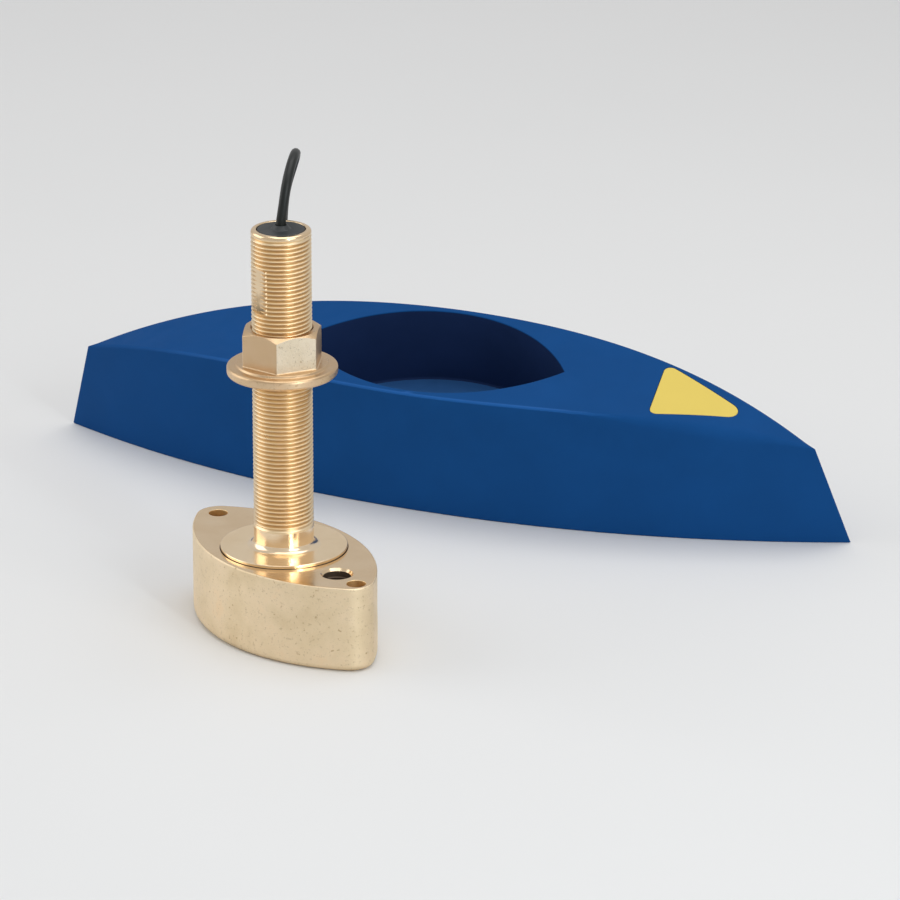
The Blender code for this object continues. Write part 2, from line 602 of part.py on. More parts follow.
def smooth_route(points, step):
    """Evenly spaced points on the natural cubic spline through a route's points, by chord length."""
    p = np.asarray(points, float)
    t = np.concatenate([[0.0], np.cumsum(np.linalg.norm(np.diff(p, axis=0), axis=1))])
    h = np.diff(t)
    count = len(p)
    matrix, right = np.eye(count), np.zeros_like(p)
    for i in range(1, count - 1):
        matrix[i, i - 1 : i + 2] = h[i - 1], 2 * (h[i - 1] + h[i]), h[i]
        right[i] = 6 * ((p[i + 1] - p[i]) / h[i] - (p[i] - p[i - 1]) / h[i - 1])
    bend = np.linalg.solve(matrix, right)
    s = np.linspace(0.0, t[-1], 60 * count)
    k = np.clip(np.searchsorted(t, s, side="right") - 1, 0, count - 2)
    a = ((t[k + 1] - s) / h[k])[:, None]
    b = ((s - t[k]) / h[k])[:, None]
    w = (h[k] ** 2 / 6)[:, None]
    fine = a * p[k] + b * p[k + 1] + w * ((a**3 - a) * bend[k] + (b**3 - b) * bend[k + 1])
    run = np.concatenate([[0.0], np.cumsum(np.linalg.norm(np.diff(fine, axis=0), axis=1))])
    places = np.linspace(0.0, run[-1], max(2, round(run[-1] / step) + 1))
    return np.stack([np.interp(places, run, fine[:, i]) for i in range(3)], axis=1)


def add_cable(name, points, diameter, material, sides=2):
    """A round cable along a row of points, with closed ends."""
    data = bpy.data.curves.new(name, "CURVE")
    data.dimensions = "3D"
    data.bevel_depth = diameter / 2
    data.bevel_resolution = sides
    data.use_fill_caps = True
    spline = data.splines.new("POLY")
    spline.points.add(len(points) - 1)
    for target, point in zip(spline.points, points):
        target.co = (*point, 1.0)
    data.materials.append(material)
    obj = bpy.data.objects.new(name, data)
    bpy.context.scene.collection.objects.link(obj)
    return obj


def make_cable(jacket, tie):
    """The free cable, the coil of its stored length, the tail to the connector and the coil's ties."""
    add_cable("cable", smooth_route(np.array(ROUTE_MM) * MM, CABLE_STEP), CABLE_DIAMETER, jacket)
    add_cable("cable_tail", smooth_route(np.array(TAIL_MM) * MM, CABLE_STEP), CABLE_DIAMETER, jacket)

    coil = bmesh.new()
    r = CABLE_RADIUS
    profile = quarter(COIL_OUTER - r, COIL_BOTTOM + r, r, 270, 360, 2)
    profile += quarter(COIL_OUTER - r, COIL_TOP - r, r, 0, 90, 2)
    profile += quarter(COIL_INNER + r, COIL_TOP - r, r, 90, 180, 2)
    profile += quarter(COIL_INNER + r, COIL_BOTTOM + r, r, 180, 270, 2)
    turned_tube(coil, profile, 40, COIL_CENTRE.x, COIL_CENTRE.y)
    add_object("cable_coil", coil, jacket)

    half = TIE_WIDTH / 2
    inner_wall = math.sqrt(COIL_INNER**2 - half**2) - 2 * SEAT_GAP
    outer_wall = COIL_OUTER + SEAT_GAP
    low, high = 0.0, COIL_TOP + SEAT_GAP + TIE_THICKNESS
    t = TIE_THICKNESS
    for number, angle in enumerate(TIE_ANGLES, 1):
        strap = bmesh.new()
        outside = [(inner_wall - t, low), (outer_wall + t, low), (outer_wall + t, high), (inner_wall - t, high)]
        inside = [(inner_wall, low + t), (outer_wall, low + t), (outer_wall, high - t), (inner_wall, high - t)]
        loops = []
        for outline in (outside, inside):
            for y in (-half, half):
                loops.append([strap.verts.new((x, y, z)) for x, z in outline])
        for first, second in ((0, 1), (3, 2), (2, 0), (1, 3)):
            for i in range(4):
                j = (i + 1) % 4
                strap.faces.new((loops[first][i], loops[first][j], loops[second][j], loops[second][i]))
        place = Matrix.Translation(COIL_CENTRE) @ Matrix.Rotation(angle, 4, "Z")
        add_object(f"coil_tie_{number}", strap, tie, place)


def make_connector(rubber, plastic, insulator, brass, seal):
    """The round cable connector: boot, body, coupling ring, contact carrier, pins and seal.

    Each piece is turned about the connector's own axis, which starts at the boot's small end.
    """
    body_start = BOOT_LENGTH + SEAT_GAP
    body_end = body_start + BODY_LENGTH
    body_radius, grip = BODY_DIAMETER / 2, GRIP_DIAMETER / 2
    socket_radius = body_radius - SOCKET_WALL
    socket_floor = body_end - SOCKET_DEPTH

    boot = bmesh.new()
    profile = [(0, 0), (CABLE_RADIUS + 0.9 * MM, 0)]
    ridges = 4
    for i in range(ridges):
        share = (i + 1) / (ridges + 1)
        radius = CABLE_RADIUS + 0.9 * MM + share * (BOOT_END_DIAMETER / 2 - CABLE_RADIUS - 0.9 * MM)
        z = share * BOOT_LENGTH
        profile += [(radius, z - 1.4 * MM), (radius - 0.5 * MM, z - 1.0 * MM), (radius - 0.5 * MM, z)]
        profile += [(radius, z + 0.4 * MM)]
    profile += [(BOOT_END_DIAMETER / 2, BOOT_LENGTH), (0, BOOT_LENGTH)]
    turned(boot, profile, SMALL_FACETS)
    add_object("connector_boot", boot, rubber, CONNECTOR_PLACE)

    coupling_start = body_end + COUPLING_OVERHANG - COUPLING_LENGTH
    shell = bmesh.new()
    grip_end = coupling_start - SEAT_GAP
    turned(shell, [
        (0, body_start), (BOOT_END_DIAMETER / 2 + 0.8 * MM, body_start), (grip, body_start + 3 * MM),
        (grip, grip_end), (body_radius, grip_end), (body_radius, body_end), (socket_radius, body_end),
        (socket_radius, socket_floor), (0, socket_floor),
    ])
    add_object("connector_body", shell, plastic, CONNECTOR_PLACE)

    outer, inner = CONNECTOR_START.z, body_radius + SEAT_GAP
    ring = bmesh.new()
    facets = 2 * COUPLING_RIBS
    loops = []
    end = coupling_start + COUPLING_LENGTH
    sections = (
        (inner, coupling_start, False), (outer - 1 * MM, coupling_start, False),
        (outer, coupling_start + 1 * MM, True), (outer, end - 1 * MM, True),
        (outer - 1 * MM, end, False), (inner, end, False),
    )
    for radius, z, ribbed in sections:
        points = circle(radius, z, facets)
        if ribbed:
            valley = (radius - RIB_DEPTH) / radius
            points = [(x * valley, y * valley, h) if i % 2 else (x, y, h) for i, (x, y, h) in enumerate(points)]
        loops.append([ring.verts.new(p) for p in points])
    for low, high in zip(loops, loops[1:] + loops[:1]):
        for i in range(facets):
            j = (i + 1) % facets
            ring.faces.new((low[i], low[j], high[j], high[i]))
    bmesh.ops.triangulate(ring, faces=ring.faces)
    add_object("connector_ring", ring, plastic, CONNECTOR_PLACE)

    insert_low = socket_floor + SEAT_GAP
    insert_high = insert_low + INSERT_LENGTH
    carrier = bmesh.new()
    radius = socket_radius - SEAT_GAP
    turned(carrier, [(0, insert_low), (radius, insert_low), (radius, insert_high), (0, insert_high)], SMALL_FACETS)
    add_object("contact_carrier", carrier, insulator, CONNECTOR_PLACE)

    foot = insert_high + SEAT_GAP
    tip = foot + PIN_LENGTH
    r = PIN_DIAMETER / 2
    for i in range(PIN_COUNT):
        angle = 2 * math.pi * i / PIN_COUNT
        x, y = PIN_CIRCLE_RADIUS * math.cos(angle), PIN_CIRCLE_RADIUS * math.sin(angle)
        pin = bmesh.new()
        turned(pin, [(0, foot), (r, foot), (r, tip - r), (r / 2, tip), (0, tip)], 8, x, y)
        add_object(f"contact_pin_{i + 1}", pin, brass, CONNECTOR_PLACE)

    washer = bmesh.new()
    outside = socket_radius - SEAT_GAP
    low = insert_high + SEAT_GAP
    turned_tube(washer, [
        (outside - SEAL_SECTION, low), (outside, low), (outside, low + SEAL_SECTION),
        (outside - SEAL_SECTION, low + SEAL_SECTION),
    ], SMALL_FACETS)
    add_object("connector_seal", washer, seal, CONNECTOR_PLACE)


def main():
    """Builds every piece of the transducer."""
    clear_scene()
    bronze = finish("cast_bronze", (0.62, 0.47, 0.28), 0.38, 1.0)
    blue = finish("blue_urethane", (0.012, 0.075, 0.23), 0.45)
    yellow = finish("yellow_mark", (0.86, 0.66, 0.16), 0.5)
    black = finish("black_rubber", (0.02, 0.022, 0.024), 0.6)
    jacket = finish("cable_jacket", (0.016, 0.017, 0.018), 0.5)
    window = finish("window_urethane", (0.03, 0.03, 0.032), 0.4)
    ceramic = finish("piezo_ceramic", (0.62, 0.6, 0.55), 0.5)
    cork = finish("cork", (0.42, 0.27, 0.14), 0.9)
    potting = finish("potting_compound", (0.05, 0.045, 0.04), 0.5)
    copper = finish("tinned_copper", (0.7, 0.5, 0.38), 0.35, 1.0)
    tie = finish("hook_and_loop", (0.03, 0.03, 0.03), 0.95)
    plastic = finish("connector_plastic", (0.025, 0.026, 0.028), 0.45)
    insulator = finish("contact_insulator", (0.1, 0.1, 0.1), 0.5)
    gold = finish("gold_plated_brass", (0.8, 0.6, 0.24), 0.25, 1.0)
    seal = finish("seal_rubber", (0.35, 0.05, 0.03), 0.6)
    make_housing(bronze)
    make_stem_plug(black)
    make_acoustic_parts(window, ceramic, cork, potting, copper, jacket)
    make_hull_nut(bronze)
    make_fairing(blue)
    make_direction_mark(yellow)
    make_cable(jacket, tie)
    make_connector(black, plastic, insulator, gold, seal)


main()
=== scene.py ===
"""Sonar transducer: dresses the packed through-hull transducer and its fairing block.

Every shape is a numpy surface in the row frame, in metres. The floor is z = 0, +Z runs up the stem and
+X along the fairing block towards its direction mark.
"""

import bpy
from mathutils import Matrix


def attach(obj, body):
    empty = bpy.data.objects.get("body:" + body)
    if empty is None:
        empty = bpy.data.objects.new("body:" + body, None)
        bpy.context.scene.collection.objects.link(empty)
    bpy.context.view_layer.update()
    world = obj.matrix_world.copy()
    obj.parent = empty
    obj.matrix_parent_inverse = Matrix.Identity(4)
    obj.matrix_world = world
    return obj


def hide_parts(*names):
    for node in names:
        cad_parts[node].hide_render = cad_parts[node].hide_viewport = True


bl_info = {
    "name": "Sonar transducer",
    "version": (1, 0, 0),
    "blender": (4, 5, 0),
    "location": "3D View > Sidebar > Transducer",
    "description": "Builds a through-hull sonar transducer, its cable and its fairing block",
    "category": "Object",
}

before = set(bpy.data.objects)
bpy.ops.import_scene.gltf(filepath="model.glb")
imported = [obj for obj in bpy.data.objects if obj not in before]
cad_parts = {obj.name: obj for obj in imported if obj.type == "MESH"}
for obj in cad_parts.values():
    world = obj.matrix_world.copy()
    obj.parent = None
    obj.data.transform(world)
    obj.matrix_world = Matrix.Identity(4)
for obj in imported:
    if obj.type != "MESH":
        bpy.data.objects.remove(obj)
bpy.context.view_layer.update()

import math

import bmesh
import bpy
import numpy as np
from bpy.props import FloatProperty, FloatVectorProperty, IntProperty, PointerProperty
from bpy.types import Operator, Panel, PropertyGroup
from mathutils import Vector

MM = 0.001
# Room left round a piece that sits in, on or against another
SEAT_GAP = 0.3 * MM
# Unevenness of the cast surfaces, as a share of the distance from the middle
CASTING_WAVE = 0.0022
NUT_WAVE = 0.0035
# Angle in degrees past which an edge stays crisp
CREASE = 32.0
# How far a cutting tool reaches past the face that it cuts through
OVERSHOOT = 4 * MM

# The cable's route, as the part's source gives it
ROUTE_MM = [
    (0, 0, 208.8), (0.2, 0, 213), (0.8, 0.4, 217.5), (1.3, 2.1, 225.4), (0.8, 6.9, 232.6),
    (-0.5, 13.8, 237.3), (-2.6, 21.6, 239), (-5.6, 29.4, 237.4), (-9, 35.5, 232.7),
    (-12.5, 38.9, 225.5), (-15.3, 39.7, 217.5), (-18, 40.2, 200), (-20.2, 44, 182),
    (-24.4, 52.3, 160), (-33, 69, 132), (-43, 88, 108),
    (-55, 113.5, 88), (-67.5, 139.5, 76.4), (-79, 164, 72.5), (-89.5, 187, 76.6), (-100, 209.5, 82.2),
    (-109.5, 230, 87), (-113.5, 238.4, 85.1), (-116.8, 245.4, 79.4), (-118.9, 249.8, 70.7),
    (-120.6, 253.6, 58.5), (-122.2, 259.6, 46), (-125, 270.5, 35), (-129.6, 284.8, 27.8),
]
TAIL_MM = [
    (-69.3, 373.2, 3.9), (-58, 371.8, 3.2), (-46, 367.5, 2.8), (-34, 360.5, 2.8), (-22, 354.5, 3.3),
    (-10, 350.8, 5.6), (0, 349.2, 8.6), (8, 348.6, 10.6), (14, 348.5, 11),
]
COIL_LEVELS = 6
COIL_START_ANGLE = math.radians(203.88)
COIL_STEPS_PER_TURN = 30
SPLINE_STEP = 4.0 * MM

# The photograph's view, in degrees, with the lens in millimetres for a sensor 36 mm wide
CAMERA_PLACE = (1.2162, -2.5451, 1.1249)
CAMERA_PITCH = 20.08
CAMERA_TURN = 23.88
CAMERA_LENS = 245.06


def length_property(name, millimetres, description):
    """A length with its default in millimetres."""
    return FloatProperty(
        name=name, description=description, default=millimetres * MM, unit="LENGTH", precision=4
    )


def angle_property(name, degrees, description):
    """An angle with its default in degrees."""
    return FloatProperty(
        name=name, description=description, default=math.radians(degrees), unit="ROTATION"
    )


def colour_property(name, colour, description):
    """A linear colour."""
    return FloatVectorProperty(
        name=name, description=description, default=colour, subtype="COLOR", size=3, min=0.0, max=1.0
    )


class HousingSizes(PropertyGroup):
    """Sizes of the bronze casting and its threaded stem."""

    turn: angle_property("Turn", -30.3, "Turn of the housing's long axis from +X")
    length: length_property("Length", 137.0, "Length over both tips")
    width: length_property("Width", 72.0, "Width across the middle")
    height: length_property("Height", 43.5, "Height of the boat-shaped body")
    tip_radius: length_property("Tip radius", 12.0, "Radius of the rounded tips")
    foot_round: length_property("Foot round", 3.5, "Radius along the lower edge")
    top_round: length_property("Top round", 0.8, "Radius along the upper edge")
    pad_diameter: length_property("Pad diameter", 62.8, "Diameter of the machined pad")
    pad_height: length_property("Pad height", 1.8, "Height of the machined pad")
    stem_diameter: length_property("Stem diameter", 29.6, "Outer diameter of the thread")
    stem_length: length_property("Stem length", 163.0, "Stem from the pad to its rim")
    neck_fillet: length_property("Neck fillet", 3.3, "Fillet where the stem meets the pad")
    neck_length: length_property("Neck length", 10.1, "Plain neck below the thread")
    rim_plain: length_property("Plain rim", 2.1, "Plain band above the thread")
    thread_pitch: length_property("Thread pitch", 2.1167, "Distance from crest to crest")
    thread_depth: length_property("Thread depth", 1.25, "Depth of the thread")
    bore: length_property("Stem bore", 19.0, "Bore of the stem")
    pocket: length_property("Pocket diameter", 57.0, "Pocket for the ceramic, in the underside")
    pocket_depth: length_property("Pocket depth", 32.0, "Depth of that pocket")
    window_thickness: length_property("Window thickness", 4.0, "Thickness of the acoustic window")
    plug_bore: length_property("Mouth diameter", 24.0, "Counterbore for the cable seal")
    plug_depth: length_property("Mouth depth", 13.0, "Depth of the counterbore")
    flats_across: length_property("Wrench flats", 27.0, "Size across the wrench flats")
    flat_length: length_property("Flat length", 22.0, "Length of the wrench flats")
    flat_setback: length_property("Flat setback", 18.4, "Distance of the flats below the rim")
    screw_hole: length_property("Screw hole", 9.4, "Diameter of the two through holes")
    screw_mouth: length_property("Screw hole mouth", 0.35, "Radius round the screw holes' mouths")
    bow_setback: length_property("Bow hole setback", 6.6, "Bow hole from the bow tip")
    stern_setback: length_property("Stern hole setback", 10.2, "Stern hole from the stern tip")
    bolt_hole: length_property("Bolt hole", 13.6, "Diameter of the blind bolt hole")
    bolt_setback: length_property("Bolt hole setback", 22.9, "Bolt hole from the bow tip")
    bolt_depth: length_property("Bolt hole depth", 30.0, "Depth of the bolt hole")
    bolt_mouth: length_property("Bolt hole mouth", 1.2, "Chamfer at the bolt hole's mouth")


class NutSizes(PropertyGroup):
    """Sizes of the hull nut."""

    seat: length_property("Seat height", 134.1, "Height of the flange's underside")
    height: length_property("Height", 23.9, "Height from the flange to the crown")
    across_flats: length_property("Across flats", 36.2, "Size of the hexagon")
    turn: angle_property("Turn", -12.2, "Direction of one corner of the hexagon")
    crown: length_property("Crown diameter", 35.6, "Diameter of the chamfered crown")
    chamfer: length_property("Corner chamfer", 2.2, "Height of the chamfer at the corners")
    flange: length_property("Flange diameter", 54.4, "Diameter of the flange")
    flange_thickness: length_property("Flange thickness", 5.0, "Thickness of the flange")
    collar: length_property("Collar diameter", 45.0, "Diameter of the low collar on the flange")
    collar_height: length_property("Collar height", 1.1, "Height of the collar")
    bore: length_property("Bore", 29.9, "Bore over the thread")


class FairingSizes(PropertyGroup):
    """Sizes of the fairing block and its direction mark."""

    x: length_property("X", -9.2, "Place of the block's middle along X")
    y: length_property("Y", 225.1, "Place of the block's middle along Y")
    deadrise: angle_property("Deadrise", 15.0, "Angle that the base is cut at")
    base_length: length_property("Base length", 448.0, "Length of the base")
    base_width: length_property("Base width", 95.2, "Width of the base")
    base_fullness: FloatProperty(name="Base fullness", description="Power of the base's lens", default=2.1)
    end_rake: length_property("End rake", 16.1, "How far each end leans in")
    side_rake: length_property("Side rake", 6.6, "How far each side leans in")
    top_fullness: FloatProperty(name="Top fullness", description="Power of the top's lens", default=1.9)
    top_shift: length_property("Top shift", 0.9, "How far the top sits towards the bow")
    crest: length_property("Crest", 82.2, "Height of the crown's highest point")
    crest_shift: length_property("Crest shift", 5.0, "How far the crest sits towards the bow")
    drop: length_property("Crown drop", 28.0, "Drop of the crown to the ends")
    edge: length_property("Edge radius", 1.5, "Radius along the top's edges")
    bow_round: length_property("Bow rounding", 6.5, "Added radius of the near edge towards the bow")
    cavity_shift: length_property("Cavity shift", -1.0, "Place of the cavity along the block")
    cavity_depth: length_property("Cavity depth", 43.1, "Depth of the cavity below the crest")
    cavity_clearance: length_property("Cavity clearance", 1.2, "Gap round a fitted housing")
    stem_room: length_property("Stem room", 1.8, "How much wider the stem's hole is than the stem")
    bolt_hole: length_property("Bolt hole", 13.0, "Diameter of the bolt's hole")
    screw_hole: length_property("Screw hole", 5.0, "Diameter of the two screw holes")
    screw_depth: length_property("Screw depth", 22.0, "Depth of the screw holes below the cavity's floor")
    mark_setback: length_property("Mark setback", 86.1, "The mark's back edge from the bow end")
    mark_length: length_property("Mark length", 53.4, "Length of the mark before its corners")
    mark_width: length_property("Mark width", 45.6, "Width of the mark before its corners")
    mark_skew: angle_property("Mark skew", 9.1, "Turn of the mark's back edge")
    mark_offset: length_property("Mark offset", 2.8, "The mark's middle beside the block's axis")
    mark_corner: length_property("Mark corner", 3.7, "Radius of the mark's back corners")
    mark_tip: length_property("Mark tip", 6.0, "Radius of the mark's forward tip")


class CableSizes(PropertyGroup):
    """Sizes of the cable, its coil and its ties."""

    diameter: length_property("Diameter", 4.8, "Diameter of the cable")
    coil_x: length_property("Coil X", -92.0, "Place of the coil along X")
    coil_y: length_property("Coil Y", 324.0, "Place of the coil along Y")
    coil_radius: length_property("Coil radius", 36.4, "Mean radius of the coil")
    turns: FloatProperty(name="Turns", description="Turns in the coil", default=32.316)
    tie_width: length_property("Tie width", 8.0, "Width of the two ties")
    tie_thickness: length_property("Tie thickness", 1.2, "Thickness of the two ties")


class ConnectorSizes(PropertyGroup):
    """Sizes of the cable connector."""

    x: length_property("X", 14.3, "Where the boot starts along X")
    y: length_property("Y", 348.5, "The connector's axis along Y")
    z: length_property("Z", 11.0, "The connector's axis above the floor")
    boot_length: length_property("Boot length", 28.0, "Length of the strain relief")
    boot_end: length_property("Boot end", 14.0, "Diameter of the strain relief's thick end")
    body_length: length_property("Body length", 34.0, "Length of the body")
    body_diameter: length_property("Body diameter", 17.0, "Diameter under the coupling ring")
    grip_diameter: length_property("Grip diameter", 19.6, "Diameter of the grip")
    ring_length: length_property("Ring length", 17.0, "Length of the coupling ring")
    ring_overhang: length_property("Ring overhang", 1.5, "How far the ring stands past the body")
    socket_depth: length_property("Socket depth", 14.0, "Depth of the socket in the body")
    ribs: IntProperty(name="Ribs", description="Grip ribs round the coupling ring", default=24)


class Finishes(PropertyGroup):
    """Colours of the object's materials."""

    cast: colour_property("Cast bronze", (0.80, 0.655, 0.445), "Sand-cast bronze")
    machined: colour_property("Machined bronze", (0.85, 0.675, 0.46), "Turned and ground bronze")
    thread: colour_property("Thread", (0.91, 0.725, 0.475), "Crests of the thread")
    blue: colour_property("Blue urethane", (0.007, 0.064, 0.220), "The fairing block")
    yellow: colour_property("Yellow mark", (0.74, 0.565, 0.122), "The direction mark")
    rubber: colour_property("Rubber", (0.022, 0.025, 0.027), "The cable seal")
    jacket: colour_property("Jacket", (0.0075, 0.0095, 0.0088), "The cable's jacket")
    floor: colour_property("Floor", (0.80, 0.80, 0.80), "The studio floor")


GROUPS = {
    "transducer_housing": HousingSizes,
    "transducer_nut": NutSizes,
    "transducer_fairing": FairingSizes,
    "transducer_cable": CableSizes,
    "transducer_connector": ConnectorSizes,
    "transducer_finishes": Finishes,
}


# Meshes from grids of points


def grid_faces(rows, columns, wrap):
    """Quads between neighbouring rows and columns of a grid, with the last column joined to the first
    where it wraps."""
    i = np.arange(rows - 1)[:, None] * columns
    j = np.arange(columns if wrap else columns - 1)[None, :]
    k = (j + 1) % columns
    return np.stack([i + j, i + k, i + columns + k, i + columns + j], axis=-1).reshape(-1, 4)


def mesh_of(name, parts, weld=2e-6):
    """A mesh from (points, faces) parts, its coincident points welded and its normals turned outwards."""
    vertices = np.concatenate([p.reshape(-1, 3) for p, _ in parts])
    starts = np.cumsum([0] + [p.reshape(-1, 3).shape[0] for p, _ in parts[:-1]])
    faces = []
    for (_, part_faces), start in zip(parts, starts):
        if isinstance(part_faces, np.ndarray):
            faces += (part_faces + start).tolist()
        else:
            faces += [[corner + int(start) for corner in face] for face in part_faces]
    mesh = bpy.data.meshes.new(name)
    mesh.from_pydata(vertices.tolist(), [], faces)
    bm = bmesh.new()
    bm.from_mesh(mesh)
    bmesh.ops.remove_doubles(bm, verts=bm.verts, dist=weld)
    bmesh.ops.dissolve_degenerate(bm, edges=bm.edges, dist=weld)
    bmesh.ops.recalc_face_normals(bm, faces=bm.faces)
    bm.to_mesh(mesh)
    bm.free()
    mesh.shade_smooth()
    mesh.set_sharp_from_angle(angle=math.radians(CREASE))
    return mesh


def add_object(name, data):
    """A new object in the scene's own collection."""
    item = bpy.data.objects.new(name, data)
    bpy.context.scene.collection.objects.link(item)
    return item


def show(name, mesh, materials, replaces=(), crease=None):
    """Adds a piece to the object. It rides on the part's one body and stands for the nodes it replaces.
    Where a crease angle in degrees is given, edges sharper than that stay crisp and the others are
    shaded by the areas of their faces."""
    for material in materials:
        mesh.materials.append(material)
    piece = add_object(name, mesh)
    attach(piece, "root")
    if replaces:
        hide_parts(*replaces)
    if crease:
        weight_normals(piece, crease)
    return piece


def cut(mesh, tools, operation="DIFFERENCE"):
    """The mesh after exact booleans with other meshes, one after another."""
    body = add_object("blank", mesh)
    helpers = []
    for number, tool in enumerate(tools):
        helper = add_object(f"tool_{number}", tool)
        helpers.append(helper)
        modifier = body.modifiers.new(helper.name, "BOOLEAN")
        modifier.operation = operation
        modifier.solver = "EXACT"
        modifier.object = helper
    depsgraph = bpy.context.evaluated_depsgraph_get()
    result = bpy.data.meshes.new_from_object(body.evaluated_get(depsgraph))
    for helper in helpers + [body]:
        bpy.data.objects.remove(helper, do_unlink=True)
    return result


def weight_normals(piece, angle):
    """Keeps large flat faces flat beside small rounds: each normal is weighted by its faces' areas."""
    piece.data.shade_smooth()
    piece.data.set_sharp_from_angle(angle=math.radians(angle))
    modifier = piece.modifiers.new("weighted_normals", "WEIGHTED_NORMAL")
    modifier.keep_sharp = True
    modifier.weight = 80


def revolve(profile, columns=128):
    """A surface of revolution about Z: each (radius, height) of the profile swept round a full turn."""
    profile = np.asarray(profile, float)
    turn = np.linspace(0.0, 2.0 * np.pi, columns, endpoint=False)
    x = profile[:, :1] * np.cos(turn)
    y = profile[:, :1] * np.sin(turn)
    z = np.repeat(profile[:, 1:2], columns, axis=1)
    return np.stack([x, y, z], axis=-1), grid_faces(len(profile), columns, True)


def arc(centre_r, centre_z, radius, start, stop, steps=6):
    """Profile points on a circular arc, its angles in degrees from the outward direction."""
    a = np.radians(np.linspace(start, stop, steps + 1))
    return list(zip(centre_r + radius * np.cos(a), centre_z + radius * np.sin(a)))


def turned_about(part, angle, x=0.0, y=0.0):
    """A part's points turned about Z by an angle, then moved in the plane."""
    points, faces = part
    c, s = math.cos(angle), math.sin(angle)
    rotated = points @ np.array([[c, s, 0.0], [-s, c, 0.0], [0.0, 0.0, 1.0]])
    return rotated + np.array([x, y, 0.0]), faces


def run_along(points):
    """Distance from the start of a polyline to each of its points."""
    steps = np.linalg.norm(np.diff(points, axis=0), axis=1)
    return np.concatenate([[0.0], np.cumsum(steps)])


def points_at(points, places):
    """Points at given distances along a polyline."""
    run = run_along(points)
    return np.stack([np.interp(places, run, column) for column in points.T], axis=-1)


def at_height(outline, z):
    """A plane outline as a ring of points at one height, or at a height for each point."""
    return np.column_stack([outline, np.broadcast_to(z, len(outline))])


def capped(rings):
    """A closed skin over a stack of rings, with a flat polygon at each end."""
    rows, columns = rings.shape[:2]
    faces = grid_faces(rows, columns, True).tolist()
    faces.append(list(range(columns)))
    faces.append(list(range((rows - 1) * columns, rows * columns)))
    return rings, faces


def side_circle(length, width, tip_radius):
    """Radius of the arc along each side of a boat shape, and how far across the middle its centre lies.

    With a and b the distances of the tip centres and of the sides from the middle, and r the tip radius,
    the side's radius is (a a + b b - r r) / (2 (b - r)).
    """
    a, b = length / 2 - tip_radius, width / 2
    radius = (a * a + b * b - tip_radius**2) / (2 * (b - tip_radius))
    return radius, radius - b


def boat_outline(length, width, tip_radius, side=100, tip=20):
    """A closed boat-shaped outline: two long arcs run tangent into a round tip at each end."""
    radius, centre = side_circle(length, width, tip_radius)
    a = length / 2 - tip_radius
    reach = math.atan2(a, centre)
    t = np.linspace(-reach, reach, side)
    upper = np.stack([radius * np.sin(t), radius * np.cos(t) - centre], axis=-1)
    half = math.pi / 2 - reach
    q = np.linspace(half, -half, tip + 1)[1:-1]
    nose = np.stack([a + tip_radius * np.cos(q), tip_radius * np.sin(q)], axis=-1)
    first = np.concatenate([upper, nose])
    return np.concatenate([first, -first])


# Materials


def set_inputs(node, **values):
    """Sets some of a shader node's inputs and returns the node. An underscore in a name is a space."""
    for name, value in values.items():
        node.inputs[name.replace("_", " ")].default_value = value
    return node


def new_material(name, colour, roughness, metallic=0.0):
    """A Principled material, with its node tree and its shader."""
    material = bpy.data.materials.new(name)
    material.use_nodes = True
    material.diffuse_color = (*colour, 1.0)
    tree = material.node_tree
    shader = tree.nodes["Principled BSDF"]
    set_inputs(shader, Base_Color=(*colour, 1.0), Roughness=roughness, Metallic=metallic)
    return material, tree, shader


def object_coordinates(tree, scale=(1.0, 1.0, 1.0)):
    """Object coordinates in metres, stretched by a scale."""
    source = tree.nodes.new("ShaderNodeTexCoord")
    mapping = set_inputs(tree.nodes.new("ShaderNodeMapping"), Scale=scale)
    tree.links.new(source.outputs["Object"], mapping.inputs["Vector"])
    return mapping.outputs["Vector"]


def noise(tree, vector, size, detail=3.0, roughness=0.55):
    """Fractal noise whose coarsest blotches measure about the given size in metres."""
    node = tree.nodes.new("ShaderNodeTexNoise")
    set_inputs(node, Scale=1.0 / size, Detail=detail, Roughness=roughness)
    tree.links.new(vector, node.inputs["Vector"])
    return node.outputs["Fac"]


def ramp(tree, value, stops):
    """A colour ramp with (position, colour) stops. A plain number as a colour is a grey."""
    node = tree.nodes.new("ShaderNodeValToRGB")
    elements = node.color_ramp.elements
    while len(elements) < len(stops):
        elements.new(0.5)
    for element, (position, colour) in zip(elements, stops):
        element.position = position
        rgb = (colour,) * 3 if isinstance(colour, float) else colour
        element.color = (*rgb, 1.0)
    tree.links.new(value, node.inputs["Fac"])
    return node.outputs["Color"]


def map_range(tree, value, from_min, from_max, to_min=0.0, to_max=1.0):
    """Maps a value from one range onto another and holds it there."""
    node = tree.nodes.new("ShaderNodeMapRange")
    set_inputs(node, From_Min=from_min, From_Max=from_max, To_Min=to_min, To_Max=to_max)
    tree.links.new(value, node.inputs["Value"])
    return node.outputs["Result"]


def spread(tree, value, low, high):
    """Maps a value from 0.3..0.7, where noise mostly lies, onto a range."""
    return map_range(tree, value, 0.3, 0.7, low, high)


def multiply(tree, first, second):
    """The product of two colours."""
    node = tree.nodes.new("ShaderNodeMix")
    node.data_type = "RGBA"
    node.blend_type = "MULTIPLY"
    set_inputs(node, Factor=1.0)
    tree.links.new(first, node.inputs["A"])
    tree.links.new(second, node.inputs["B"])
    return node.outputs["Result"]


def bump(tree, shader, heights):
    """Chains bumps: each height is (value, distance in metres, strength)."""
    previous = None
    for value, distance, strength in heights:
        node = set_inputs(tree.nodes.new("ShaderNodeBump"), Distance=distance, Strength=strength)
        tree.links.new(value, node.inputs["Height"])
        if previous:
            tree.links.new(previous, node.inputs["Normal"])
        previous = node.outputs["Normal"]
    tree.links.new(previous, shader.inputs["Normal"])


